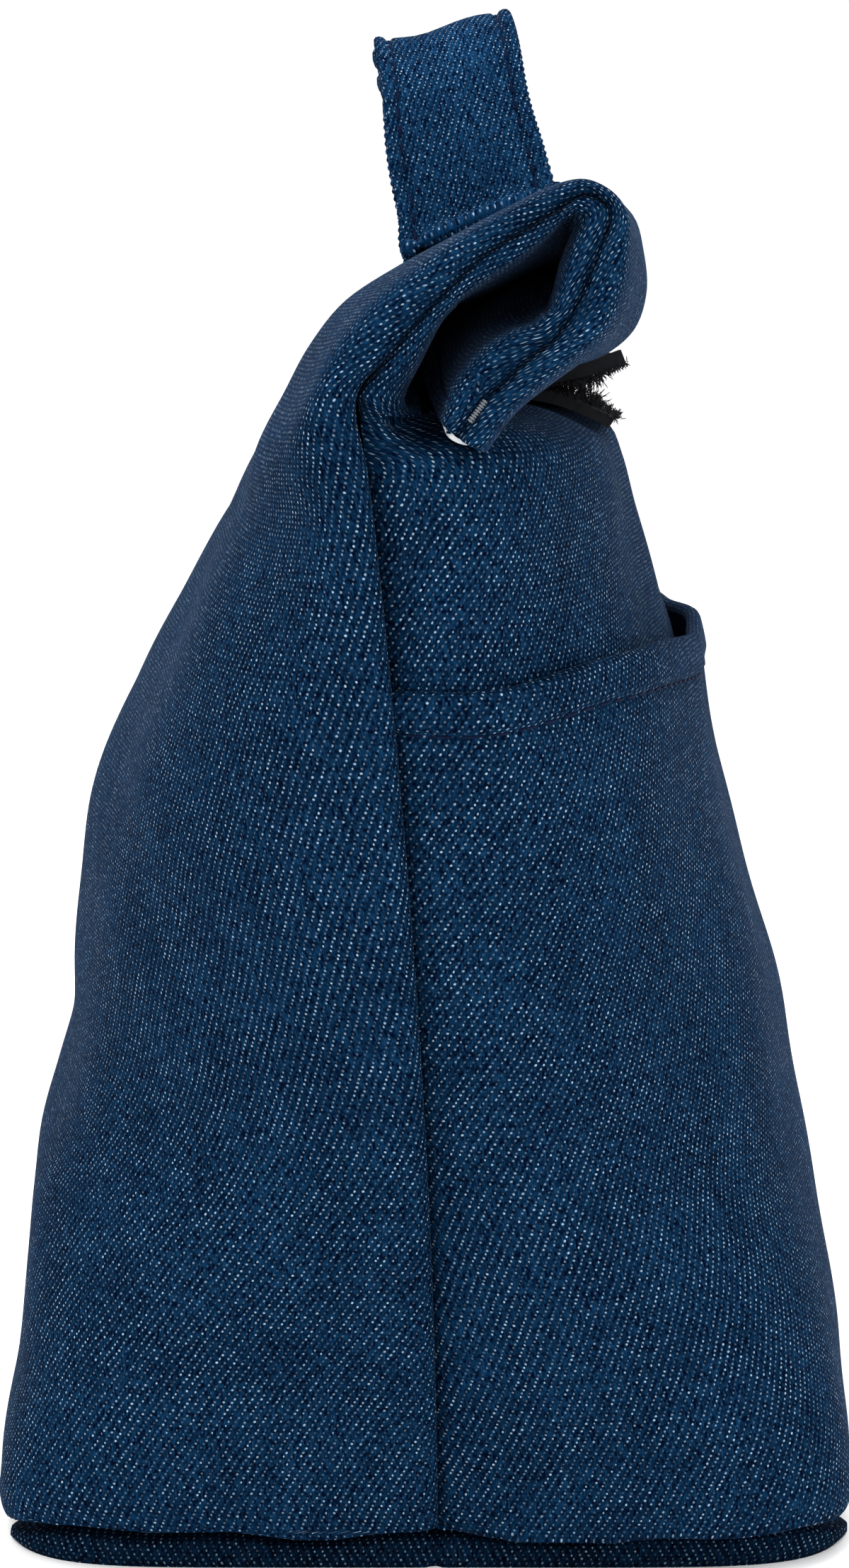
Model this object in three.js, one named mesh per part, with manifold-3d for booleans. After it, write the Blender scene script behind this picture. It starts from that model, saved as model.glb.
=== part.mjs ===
// Rolltop cooler bag: a boxed denim lunch bag with an insulated lining, a wide front pocket,
// a top that folds over twice and fastens with hook-and-loop tape, and a strap handle.
// Millimetres. +Z is up, the front faces -Y, and the bag stands on z = 0 with its base centred.

import * as THREE from 'three';
import { mergeVertices } from 'three/addons/utils/BufferGeometryUtils.js';
import Module from 'manifold-3d';

const wasm = await Module();
wasm.setup();

// Cloth layers
const DENIM = 1.0;
const FOAM = 3.0;
const FOAM_AT_FOLD = 0.4;
const LINING = 0.4;
const LAYER_GAP = 0.3;
const SEAM_GAP = 0.4;
const FOLD_GAP = 0.9;

// Body of the bag
const BASE_WIDTH = 200;
const BASE_DEPTH = 140;
const BASE_EDGE = 5.5;
const CREASE_HEIGHT = 192;
const CREASE_BACK = 19;
const BACK_WAIST = 64;
const BACK_SHOULDER = 74;
const FRONT_WAIST = 73.2;
const FRONT_CHEST = 52.5;
const FRONT_SHOULDER = 36;
const SHOULDER_DROP = 15;
const ROOF_PULL = 33;
const ROOF_DROP = 7.5;
const ROOF_SINK = 0.8;
const ROOF_DRAW = 2.8;
const SIDE_FLARE = 1.15;
const SEAM_LEAN = 3;
const BASE_SQUARENESS = 6;
const LENS_SQUARENESS = 2.1;
const ROLL_SQUARENESS = 10;
const LENS_LEVEL = 0.5;
const CREASE_SHARPNESS = 6;
const FOAM_TAPER_LEVEL = 0.8;

// Rolled top
const MOUTH_WIDTH = 330;
const MOUTH_SLOT = 6.4;
const NECK_REACH = 39.5;
const NECK_RISE = 19;
const FOLD_RADIUS = 1.2;
const UPPER_SLOPE = 23;
const LOWER_SLOPE = 42;
const FLAP_LEG = 24;
const HEM_WIDTH = 8;
const HEM_THICK = 0.6;
const TACK = { thick: 1.0, high: 7, long: 2.5, inset: 6 };

// Hook-and-loop tape
const TAPE_LENGTH = 180;
const TAPE_WIDTH = 20;
const TAPE_THICK = 1.5;
const TAPE_TO_MOUTH = 2;
const HOOK_SETBACK = 6;

// Front pocket
const POCKET_HEIGHT = 146;
const POCKET_HEM = 11;
const LIP_HINGE_HEIGHT = 72;
const LIP_WIDTH = 140;
const LIP_GAPE = 7;
const LIP_FADE = 30;
const LIP_GAP = 0.4;

// Handle
const STRAP_WIDTH = 26;
const STRAP_THICK = 2.4;
const HANDLE_SPAN = 130;
const HANDLE_TILT = 8;
const STRAP_SLOPE = 20;
const STRAP_LIFT = 1.5;
const LEG_LENGTH = 16;
const GRIP_RISE = 14;
const GRIP_CORNER = 10;
const TAB_LENGTH = 24;
const HANDLE_BACKSET = 7.5;

// Steps in the mesh
const BODY_COLUMNS = 14;
const ROLL_COLUMNS = [0, 8, 30, 60, 90, 120, 150, 172, 180].map(THREE.MathUtils.degToRad);
const CURVE_STEPS = 5;
const ARC_STEPS = 3;
const ROUND_SEGMENTS = 6;

// Sizes that follow from the driving dimensions
const BAND = MOUTH_SLOT + 2 * (DENIM + LAYER_GAP + LINING);
const FOLD_OUTER = BAND + FOLD_RADIUS;
const BACK_Y = BASE_DEPTH / 2;
const FRONT_Y = -(BASE_DEPTH / 2 - LAYER_GAP - DENIM);
const BACK = 1;
const FRONT = -1;

const { clamp, degToRad, lerp, smoothstep } = THREE.MathUtils;
const yz = (y, z) => new THREE.Vector2(y, z);
const along = (start, direction, distance) => start.clone().addScaledVector(direction, distance);
const turned = (tangent) => yz(-tangent.y, tangent.x);

// The line of the back wall, as seen from the side, and the crease at its top
const backWall = new THREE.CubicBezierCurve(
  yz(BACK_Y, BASE_EDGE),
  yz(BACK_WAIST, lerp(BASE_EDGE, CREASE_HEIGHT, 1 / 3)),
  yz(BACK_SHOULDER, lerp(BASE_EDGE, CREASE_HEIGHT, 2 / 3)),
  yz(CREASE_BACK, CREASE_HEIGHT),
);
const crease = backWall.getPoint(1);
const creaseRise = backWall.getTangent(1);
const creaseInward = turned(creaseRise);
const creaseSeam = along(crease, creaseInward, BAND / 2);
const creaseFront = along(crease, creaseInward, BAND);

// Levels up a wall, from the base edge (0) to the crease under the roll (1)
const levelAt = (height) => (height - BASE_EDGE) / (creaseSeam.y - BASE_EDGE);
const steps = (count) => Array.from({ length: count + 1 }, (_, index) => index / count);
const between = (from, to, count) => steps(count).slice(1).map((share) => lerp(from, to, share));
const ROOF_START = levelAt(CREASE_HEIGHT - SHOULDER_DROP);
const POCKET_RIM = levelAt(POCKET_HEIGHT);
const POCKET_HEM_START = levelAt(POCKET_HEIGHT - POCKET_HEM);
const LIP_HINGE = levelAt(LIP_HINGE_HEIGHT);
const POCKET_LEVELS = [
  0,
  ...between(0, LIP_HINGE, 3),
  ...between(LIP_HINGE, POCKET_HEM_START, 3),
  POCKET_RIM,
];
const WALL_LEVELS = [
  ...POCKET_LEVELS,
  ...between(POCKET_RIM, ROOF_START, 2),
  ...between(ROOF_START, 1, 3),
];

// The line of the front wall up to its shoulder, and of the roof from there back to the crease
const shoulder = yz(-FRONT_SHOULDER, CREASE_HEIGHT - SHOULDER_DROP);
const frontWall = new THREE.CubicBezierCurve(
  yz(FRONT_Y, BASE_EDGE),
  yz(-FRONT_WAIST, lerp(BASE_EDGE, shoulder.y, 1 / 3)),
  yz(-FRONT_CHEST, lerp(BASE_EDGE, shoulder.y, 2 / 3)),
  shoulder,
);
const roof = new THREE.QuadraticBezierCurve(
  shoulder,
  yz(-ROOF_PULL, CREASE_HEIGHT - ROOF_DROP),
  creaseFront,
);

// Middle line of a body panel at a level, with its direction up the panel
function bodyLine(side, level) {
  if (side === BACK) {
    return { point: backWall.getPoint(level), tangent: backWall.getTangent(level) };
  }
  if (level <= ROOF_START) {
    const share = level / ROOF_START;
    return { point: frontWall.getPoint(share), tangent: frontWall.getTangent(share) };
  }
  const share = (level - ROOF_START) / (1 - ROOF_START);
  return { point: roof.getPoint(share), tangent: roof.getTangent(share) };
}

// The bag is a box at its base, a lens across its middle and a flat band under the roll
function squareness(level) {
  if (level < ROOF_START) {
    return lerp(BASE_SQUARENESS, LENS_SQUARENESS, smoothstep(level, 0, LENS_LEVEL));
  }
  return lerp(LENS_SQUARENESS, ROLL_SQUARENESS, ((level - ROOF_START) / (1 - ROOF_START)) ** CREASE_SHARPNESS);
}

// A row is one line of cloth across the bag, from side seam to side seam
function wallRow(side, level) {
  const { point, tangent } = bodyLine(side, level);
  const seamZ = lerp(BASE_EDGE, creaseSeam.y, level);
  const climb = seamZ / creaseSeam.y;
  const taper = clamp((level - FOAM_TAPER_LEVEL) / (1 - FOAM_TAPER_LEVEL), 0, 1);
  const overRoof = side === FRONT ? clamp((level - ROOF_START) / (1 - ROOF_START), 0, 1) : 0;
  return {
    level,
    mid: point,
    inward: turned(tangent).multiplyScalar(side),
    seam: yz(creaseSeam.x * climb ** SEAM_LEAN + (side * SEAM_GAP) / 2, seamZ),
    half: lerp(BASE_WIDTH, MOUTH_WIDTH, climb ** SIDE_FLARE) / 2,
    square: squareness(level),
    draw: lerp(1, ROOF_DRAW, overRoof),
    lift: -ROOF_SINK * overRoof,
    pad: lerp(FOAM, FOAM_AT_FOLD, taper),
  };
}

// Rows of the base and of its rounded edge, at an angle of 0 on the flat base and 90 on the wall
function baseRow(side, reach, angle) {
  const out = Math.sin(angle);
  const up = Math.cos(angle);
  const rise = BASE_EDGE * (1 - up);
  return {
    level: 0,
    mid: yz(side * (reach + BASE_EDGE * out), rise),
    inward: yz(-side * out, up),
    seam: yz((side * SEAM_GAP) / 2, rise),
    half: BASE_WIDTH / 2 - BASE_EDGE * (1 - out),
    square: BASE_SQUARENESS,
    draw: out,
    lift: up,
    pad: FOAM,
  };
}

function bodyRows(side) {
  const reach = (side === BACK ? BACK_Y : -FRONT_Y) - BASE_EDGE;
  const base = [baseRow(side, SEAM_GAP / 2, 0), baseRow(side, reach, 0), baseRow(side, reach, Math.PI / 4)];
  return [...base, ...WALL_LEVELS.map((level) => wallRow(side, level))];
}

// Path of the roll's outer face: over the neck, round the fold and down the flap
const upperSlope = degToRad(UPPER_SLOPE);
const lowerSlope = degToRad(LOWER_SLOPE);
const foldCentre = yz(CREASE_BACK - NECK_REACH, CREASE_HEIGHT + NECK_RISE);
const upperRay = yz(Math.cos(upperSlope), -Math.sin(upperSlope));
const flapRay = yz(Math.cos(lowerSlope), -Math.sin(lowerSlope));
const arcStart = Math.PI / 2 - upperSlope;
const arcEnd = (3 * Math.PI) / 2 - lowerSlope;
const arcSplit = (arcStart + arcEnd) / 2;
const spoke = (angle) => yz(Math.cos(angle), Math.sin(angle));
const neckStart = along(crease, creaseRise, FOLD_GAP);
const neckEnd = along(foldCentre, spoke(arcStart), FOLD_OUTER);

function meetingPoint(a, alongA, b, alongB) {
  const gap = b.clone().sub(a);
  return along(a, alongA, gap.cross(alongB) / alongA.cross(alongB));
}

const neckBend = meetingPoint(neckStart, creaseRise, neckEnd, upperRay);
const neckCurve = new THREE.QuadraticBezierCurve(neckStart, neckBend, neckEnd);

function neckStation(share) {
  return { point: neckCurve.getPointAt(share), inward: turned(neckCurve.getTangentAt(share)) };
}

function arcStation(angle, shift) {
  const tangent = turned(spoke(angle));
  const point = along(foldCentre, spoke(angle), FOLD_OUTER).addScaledVector(tangent, shift);
  return { point, inward: spoke(angle).negate() };
}

function flapStation(distance) {
  const start = along(foldCentre, spoke(arcEnd), FOLD_OUTER);
  return { point: along(start, flapRay, distance), inward: spoke(arcEnd).negate() };
}

const neckStations = [
  ...steps(CURVE_STEPS).map(neckStation),
  ...steps(ARC_STEPS).slice(1).map((share) => (
    arcStation(lerp(arcStart, arcSplit, share), share === 1 ? -FOLD_GAP / 2 : 0)
  )),
];
const flapArc = steps(ARC_STEPS).map((share) => (
  arcStation(lerp(arcSplit, arcEnd, share), share === 0 ? FOLD_GAP / 2 : 0)
));
const flapStations = (from, to) => [from, to].map(flapStation);

function rollRows(side, stations) {
  return stations.map(({ point, inward }) => ({
    level: 1,
    mid: side === BACK ? point : along(point, inward, BAND),
    inward: inward.clone().multiplyScalar(side),
    seam: along(point, inward, (BAND - side * SEAM_GAP) / 2),
    half: MOUTH_WIDTH / 2,
    square: ROLL_SQUARENESS,
    draw: 1,
    lift: 0,
    pad: 0,
  }));
}

// A point of a row: angle 0 is one side seam, 180 degrees the other, and inset is the depth under the face
function rowPoint(row, angle, inset) {
  const power = 2 / row.square;
  const cosine = Math.cos(angle);
  const bulge = Math.abs(Math.sin(angle)) ** power;
  const x = -Math.sign(cosine) * Math.abs(cosine) ** power * (row.half - inset * row.draw);
  const mid = along(row.mid, row.inward, inset);
  const seam = yz(row.seam.x, row.seam.y + inset * row.lift);
  const place = seam.lerp(mid, bulge);
  return new THREE.Vector3(x, place.x, place.y);
}

// Closed body between two grids of points that share their rows and columns
function closedSheet(outer, inner) {
  const rows = outer.length;
  const columns = outer[0].length;
  const size = rows * columns;
  const points = [...outer.flat(), ...inner.flat()];
  const index = [];
  const quad = (a, b, c, d) => index.push(a, b, c, a, c, d);
  const at = (row, column) => row * columns + column;
  for (let row = 0; row < rows - 1; row += 1) {
    for (let column = 0; column < columns - 1; column += 1) {
      const [a, b] = [at(row, column), at(row, column + 1)];
      const [c, d] = [at(row + 1, column + 1), at(row + 1, column)];
      quad(a, b, c, d);
      quad(a + size, d + size, c + size, b + size);
    }
  }
  const edge = (a, b) => quad(b, a, a + size, b + size);
  for (let column = 0; column < columns - 1; column += 1) {
    edge(at(0, column), at(0, column + 1));
    edge(at(rows - 1, column + 1), at(rows - 1, column));
  }
  for (let row = 0; row < rows - 1; row += 1) {
    edge(at(row + 1, 0), at(row, 0));
    edge(at(row, columns - 1), at(row + 1, columns - 1));
  }
  const geometry = new THREE.BufferGeometry();
  geometry.setAttribute('position', new THREE.Float32BufferAttribute(points.flatMap((p) => p.toArray()), 3));
  geometry.setIndex(index);
  return facingOut(withoutSlivers(mergeVertices(geometry)));
}

// Triangles whose corners merged into one another are dropped
function withoutSlivers(geometry) {
  const index = geometry.index.array;
  const kept = [];
  for (let i = 0; i < index.length; i += 3) {
    const [a, b, c] = index.slice(i, i + 3);
    if (a !== b && b !== c && c !== a) {
      kept.push(a, b, c);
    }
  }
  geometry.setIndex(kept);
  return geometry;
}

function signedVolume(geometry) {
  const index = geometry.index.array;
  const position = geometry.attributes.position;
  const corner = (i) => new THREE.Vector3().fromBufferAttribute(position, index[i]);
  let volume = 0;
  for (let i = 0; i < index.length; i += 3) {
    volume += corner(i).dot(corner(i + 1).cross(corner(i + 2))) / 6;
  }
  return volume;
}

function facingOut(geometry) {
  if (signedVolume(geometry) < 0) {
    geometry.setIndex(Array.from(geometry.index.array).reverse());
  }
  return geometry;
}

const bodyColumns = steps(BODY_COLUMNS).map((share) => share * Math.PI);

function layer(rows, columns, from, to) {
  const grid = (inset) => rows.map((row) => columns.map((angle) => rowPoint(row, angle, inset(row, angle))));
  return closedSheet(grid(from), grid(to));
}

const denimLayer = (rows, columns) => layer(rows, columns, () => 0, () => DENIM);
const foamFrom = DENIM + LAYER_GAP;
const foamLayer = (rows, columns) => layer(rows, columns, () => foamFrom, (row) => foamFrom + row.pad);
const liningInset = (row) => foamFrom + (row.pad > 0 ? row.pad + LAYER_GAP : 0);
const liningLayer = (rows, columns) => layer(rows, columns, liningInset, (row) => liningInset(row) + LINING);
const hemLayer = (rows) => layer(rows, ROLL_COLUMNS, () => foamFrom, () => foamFrom + HEM_THICK);

// Flat strip laid on the outside of a path, between two places along X
function strip(stations, fromX, toX, thick) {
  const lift = (height) => stations.map(({ point, inward }) => {
    const place = along(point, inward, -height);
    return [fromX, toX].map((x) => new THREE.Vector3(x, place.x, place.y));
  });
  return closedSheet(lift(LAYER_GAP + thick), lift(LAYER_GAP));
}

// Solids for cutting and joining
function solid(geometry) {
  const bare = geometry.index ? geometry.clone() : geometry;
  bare.deleteAttribute('normal');
  bare.deleteAttribute('uv');
  const merged = mergeVertices(bare);
  return new wasm.Manifold(new wasm.Mesh({
    numProp: 3,
    vertProperties: new Float32Array(merged.attributes.position.array),
    triVerts: new Uint32Array(merged.index.array),
  }));
}

function fromSolid(body) {
  const mesh = body.getMesh();
  const geometry = new THREE.BufferGeometry();
  geometry.setAttribute('position', new THREE.BufferAttribute(mesh.vertProperties, 3));
  geometry.setIndex(new THREE.BufferAttribute(mesh.triVerts, 1));
  return geometry;
}

// Front pocket: the lip in the middle of its front face gapes, and the rest lies on the front panel
const pocketRow = (level) => wallRow(FRONT, level);
const hingeRow = pocketRow(LIP_HINGE);
const lipHinge = along(hingeRow.mid, hingeRow.inward, -(LAYER_GAP + DENIM));

function gape(row, angle) {
  const rise = smoothstep(row.level, LIP_HINGE, POCKET_RIM);
  const aside = Math.abs(rowPoint(row, angle, 0).x);
  const spread = 1 - smoothstep(aside, LIP_WIDTH / 2, LIP_WIDTH / 2 + LIP_FADE);
  return LIP_GAPE * rise * spread;
}

const pocketFace = (row, angle) => -(LAYER_GAP + DENIM + gape(row, angle));
const pocketInside = (row, angle) => pocketFace(row, angle) + DENIM;
const pocketHemFace = (row, angle) => pocketInside(row, angle) + LAYER_GAP;
const pocketCloth = solid(layer(POCKET_LEVELS.map(pocketRow), bodyColumns, pocketFace, pocketInside));
const hemCloth = solid(layer(
  [POCKET_HEM_START, POCKET_RIM].map(pocketRow),
  bodyColumns,
  pocketHemFace,
  (row, angle) => pocketHemFace(row, angle) + HEM_THICK,
));

// Block round the lip, drawn in or let out by a margin on the edges where the lip was cut free
function lipBlock(margin) {
  const width = LIP_WIDTH + 2 * margin;
  const floor = lipHinge.y - margin;
  const block = new THREE.BoxGeometry(width, BASE_DEPTH, CREASE_HEIGHT);
  block.translate(0, -BASE_DEPTH / 2, floor + CREASE_HEIGHT / 2);
  return solid(block);
}

// Handle: two legs and a grip cut from one strap, which turn about lines along the strap's width
const neckLength = neckCurve.getLength();
function tabStation(distance) {
  if (distance < 0) {
    return arcStation(arcStart - distance / FOLD_OUTER, 0);
  }
  return neckStation(1 - distance / neckLength);
}

const strapRest = tabStation(HANDLE_BACKSET);
const strapAcross = yz(-Math.cos(degToRad(STRAP_SLOPE)), Math.sin(degToRad(STRAP_SLOPE)));
const legFoot = along(strapRest.point, strapRest.inward, -(LAYER_GAP + STRAP_THICK + STRAP_LIFT));
const legRise = yz(Math.sin(degToRad(HANDLE_TILT)), Math.cos(degToRad(HANDLE_TILT)));
const legTop = along(legFoot, legRise, LEG_LENGTH);
const tabStations = steps(4).map((share) => (
  tabStation(HANDLE_BACKSET + STRAP_WIDTH * (share - 0.5))
)).reverse();

// An outline drawn across the bag and up the strap, given the strap's width
function acrossStrap(outline, foot) {
  const geometry = new THREE.ExtrudeGeometry(outline, {
    depth: STRAP_WIDTH,
    bevelEnabled: false,
    curveSegments: ROUND_SEGMENTS,
  });
  geometry.translate(0, 0, -STRAP_WIDTH / 2);
  const frame = new THREE.Matrix4().makeBasis(
    new THREE.Vector3(1, 0, 0),
    new THREE.Vector3(0, legRise.x, legRise.y),
    new THREE.Vector3(0, strapAcross.x, strapAcross.y),
  );
  frame.setPosition(0, foot.x, foot.y);
  geometry.applyMatrix4(frame);
  geometry.deleteAttribute('normal');
  geometry.deleteAttribute('uv');
  return facingOut(mergeVertices(geometry));
}

function legOutline(x) {
  const outline = new THREE.Shape();
  outline.absarc(x, 0, STRAP_THICK / 2, Math.PI, 2 * Math.PI);
  outline.absarc(x, LEG_LENGTH, STRAP_THICK / 2, 0, Math.PI);
  outline.closePath();
  return outline;
}

function gripOutline() {
  const half = HANDLE_SPAN / 2;
  const end = STRAP_THICK / 2 + LAYER_GAP;
  const bend = GRIP_RISE - GRIP_CORNER - STRAP_THICK / 2;
  const outline = new THREE.Shape();
  const outer = GRIP_CORNER + STRAP_THICK / 2;
  const inner = GRIP_CORNER - STRAP_THICK / 2;
  const turn = half - GRIP_CORNER;
  outline.moveTo(half + STRAP_THICK / 2, end);
  outline.absarc(turn, bend, outer, 0, Math.PI / 2);
  outline.absarc(-turn, bend, outer, Math.PI / 2, Math.PI);
  outline.lineTo(-half - STRAP_THICK / 2, end);
  outline.lineTo(-half + STRAP_THICK / 2, end);
  outline.absarc(-turn, bend, inner, Math.PI, Math.PI / 2, true);
  outline.absarc(turn, bend, inner, Math.PI / 2, 0, true);
  outline.lineTo(half - STRAP_THICK / 2, end);
  outline.closePath();
  return outline;
}

function handleTab(side) {
  const inner = side * (HANDLE_SPAN / 2 + STRAP_THICK / 2 + LAYER_GAP);
  return strip(tabStations, inner, inner + side * TAB_LENGTH, STRAP_THICK);
}

// Tape: hooks on the roof, loops on the outside of the flap near the mouth
const hookStations = steps(4).map((step) => {
  const share = (HOOK_SETBACK + TAPE_WIDTH * step) / roof.getLength();
  return { point: roof.getPointAt(share), inward: turned(roof.getTangentAt(share)).negate() };
});
const loopEnd = FLAP_LEG - TAPE_TO_MOUTH;
const loopStations = flapStations(loopEnd - TAPE_WIDTH, loopEnd);
const tape = (stations) => strip(stations, -TAPE_LENGTH / 2, TAPE_LENGTH / 2, TAPE_THICK);

// Finishes
const finish = (color, roughness) => () => new THREE.MeshStandardMaterial({ color, roughness, metalness: 0 });
const denim = finish(0x1b3450, 0.9);
const strapDenim = finish(0x223d5a, 0.9);
const foamFinish = finish(0xd9dcdf, 0.8);
const liningFinish = finish(0xe9eaec, 0.5);
const tapeFinish = finish(0x101114, 0.95);
const threadFinish = finish(0x8f9499, 0.7);

function piece(name, geometry, material) {
  geometry.computeVertexNormals();
  const mesh = new THREE.Mesh(geometry, material());
  mesh.name = name;
  return mesh;
}

function body(...pieces) {
  const group = new THREE.Group();
  group.add(...pieces);
  return group;
}

function bagBody() {
  const back = bodyRows(BACK);
  const front = bodyRows(FRONT);
  return body(
    piece('back_panel', denimLayer(back, bodyColumns), denim),
    piece('back_insulation', foamLayer(back, bodyColumns), foamFinish),
    piece('back_lining', liningLayer(back, bodyColumns), liningFinish),
    piece('front_panel', denimLayer(front, bodyColumns), denim),
    piece('front_insulation', foamLayer(front, bodyColumns), foamFinish),
    piece('front_lining', liningLayer(front, bodyColumns), liningFinish),
    piece('pocket_panel', fromSolid(pocketCloth.subtract(lipBlock(LIP_GAP / 2))), denim),
    piece('hook_strip', tape(hookStations), tapeFinish),
  );
}

function pocketLipBody() {
  return body(
    piece('pocket_lip', fromSolid(pocketCloth.intersect(lipBlock(-LIP_GAP / 2))), denim),
    piece('pocket_hem', fromSolid(hemCloth.intersect(lipBlock(-LIP_GAP / 2))), denim),
  );
}

function neckBody() {
  const back = rollRows(BACK, neckStations);
  const front = rollRows(FRONT, neckStations);
  return body(
    piece('neck_back', denimLayer(back, ROLL_COLUMNS), denim),
    piece('neck_back_lining', liningLayer(back, ROLL_COLUMNS), liningFinish),
    piece('neck_front', denimLayer(front, ROLL_COLUMNS), denim),
    piece('neck_front_lining', liningLayer(front, ROLL_COLUMNS), liningFinish),
    piece('handle_end_left', handleTab(-1), strapDenim),
    piece('handle_end_right', handleTab(1), strapDenim),
  );
}

// Thread bar across the side seam at a corner of the mouth
function barTack(side) {
  const { point, inward } = flapStation(FLAP_LEG - TACK.inset);
  const seam = along(point, inward, BAND / 2);
  const tack = piece(
    side < 0 ? 'mouth_bar_tack_left' : 'mouth_bar_tack_right',
    new THREE.BoxGeometry(TACK.thick, TACK.long, TACK.high),
    threadFinish,
  );
  tack.position.set(side * (MOUTH_WIDTH / 2 + LAYER_GAP + TACK.thick / 2), seam.x, seam.y);
  tack.rotation.x = -lowerSlope;
  return tack;
}

function flapBody() {
  const hemStart = FLAP_LEG - HEM_WIDTH;
  const full = [...flapArc, flapStation(FLAP_LEG)];
  const lined = [...flapArc, flapStation(hemStart - LAYER_GAP)];
  const hem = flapStations(hemStart, FLAP_LEG);
  return body(
    piece('flap_back', denimLayer(rollRows(BACK, full), ROLL_COLUMNS), denim),
    piece('flap_back_lining', liningLayer(rollRows(BACK, lined), ROLL_COLUMNS), liningFinish),
    piece('mouth_hem_back', hemLayer(rollRows(BACK, hem)), denim),
    piece('flap_front', denimLayer(rollRows(FRONT, full), ROLL_COLUMNS), denim),
    piece('flap_front_lining', liningLayer(rollRows(FRONT, lined), ROLL_COLUMNS), liningFinish),
    piece('mouth_hem_front', hemLayer(rollRows(FRONT, hem)), denim),
    piece('loop_strip', tape(loopStations), tapeFinish),
    barTack(-1),
    barTack(1),
  );
}

function handleBodies() {
  const half = HANDLE_SPAN / 2;
  return body(
    piece('handle_leg_left', acrossStrap(legOutline(-half), legFoot), strapDenim),
    piece('handle_grip', acrossStrap(gripOutline(), legTop), strapDenim),
    piece('handle_leg_right', acrossStrap(legOutline(half), legFoot), strapDenim),
  );
}

const bag = new THREE.Group();
bag.name = 'rolltop_cooler_bag';
bag.add(bagBody(), pocketLipBody(), neckBody(), flapBody(), handleBodies());

export default bag;
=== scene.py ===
"""Looks of a rolltop cooler bag, sewn round its CAD frame: denim, lining, pocket, tapes and strap."""

import math

import bmesh
import bpy
import numpy as np
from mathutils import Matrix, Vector


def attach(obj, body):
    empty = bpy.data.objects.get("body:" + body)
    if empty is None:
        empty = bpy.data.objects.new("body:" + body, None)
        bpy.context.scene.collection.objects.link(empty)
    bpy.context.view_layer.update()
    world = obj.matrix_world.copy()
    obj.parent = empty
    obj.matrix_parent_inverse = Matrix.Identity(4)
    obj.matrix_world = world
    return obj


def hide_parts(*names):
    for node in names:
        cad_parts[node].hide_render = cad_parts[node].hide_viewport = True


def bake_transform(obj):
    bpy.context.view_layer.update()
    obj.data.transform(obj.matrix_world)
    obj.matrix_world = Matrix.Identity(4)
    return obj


bl_info = {
    "name": "Rolltop Cooler Bag",
    "version": (1, 0, 0),
    "blender": (4, 5, 0),
    "location": "View3D > Sidebar > Cooler Bag",
    "description": "Sews the cloth of a rolltop cooler bag round its CAD frame",
    "category": "Object",
}

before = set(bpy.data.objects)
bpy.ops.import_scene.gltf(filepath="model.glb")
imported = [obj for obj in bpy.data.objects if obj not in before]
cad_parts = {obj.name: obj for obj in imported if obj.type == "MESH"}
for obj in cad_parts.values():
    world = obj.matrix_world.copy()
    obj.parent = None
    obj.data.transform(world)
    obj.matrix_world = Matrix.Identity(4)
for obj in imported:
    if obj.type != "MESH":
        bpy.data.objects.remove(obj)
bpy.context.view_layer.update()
MM = 0.001

# Lines of the cloth as (y, z) in millimetres, as seen from the side.
# Back wall in the middle of the bag's width, from the base edge up to the crease
BACK_WALL = [
    (72.8, 3.0), (73.4, 12.0), (71.8, 30.0), (71.0, 46.0), (70.8, 58.0), (68.0, 70.0), (65.6, 82.0),
    (64.6, 94.0), (62.8, 106.0), (60.0, 120.0), (54.8, 135.0), (47.7, 151.0), (38.6, 167.0), (28.4, 182.0),
]
# Front wall up to its shoulder, and the roof from there back to the crease
FRONT_WALL = [
    (-72.0, 3.0), (-72.6, 12.0), (-71.2, 36.0), (-69.2, 56.0), (-67.2, 70.0), (-64.6, 84.0), (-60.6, 98.0),
    (-56.2, 112.0), (-51.2, 127.0), (-47.2, 139.0), (-44.0, 151.0), (-40.8, 161.0), (-37.2, 173.0),
    (-34.6, 182.0),
]
ROOF = [
    (-32.4, 186.6), (-27.8, 189.0), (-19.0, 191.4), (-10.0, 190.6), (-3.4, 188.2), (2.2, 196.6), (5.4, 192.4),
]
ROOF_END = [
    (-32.4, 186.6), (-27.8, 188.6), (-19.5, 190.0), (-11.5, 190.0), (-6.0, 189.4), (-2.0, 189.4),
    (0.6, 190.2),
]
ROOF_SEAM_Z = [180.6, 182.4, 184.4, 186.4, 188.2, 189.8, 191.3]
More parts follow.
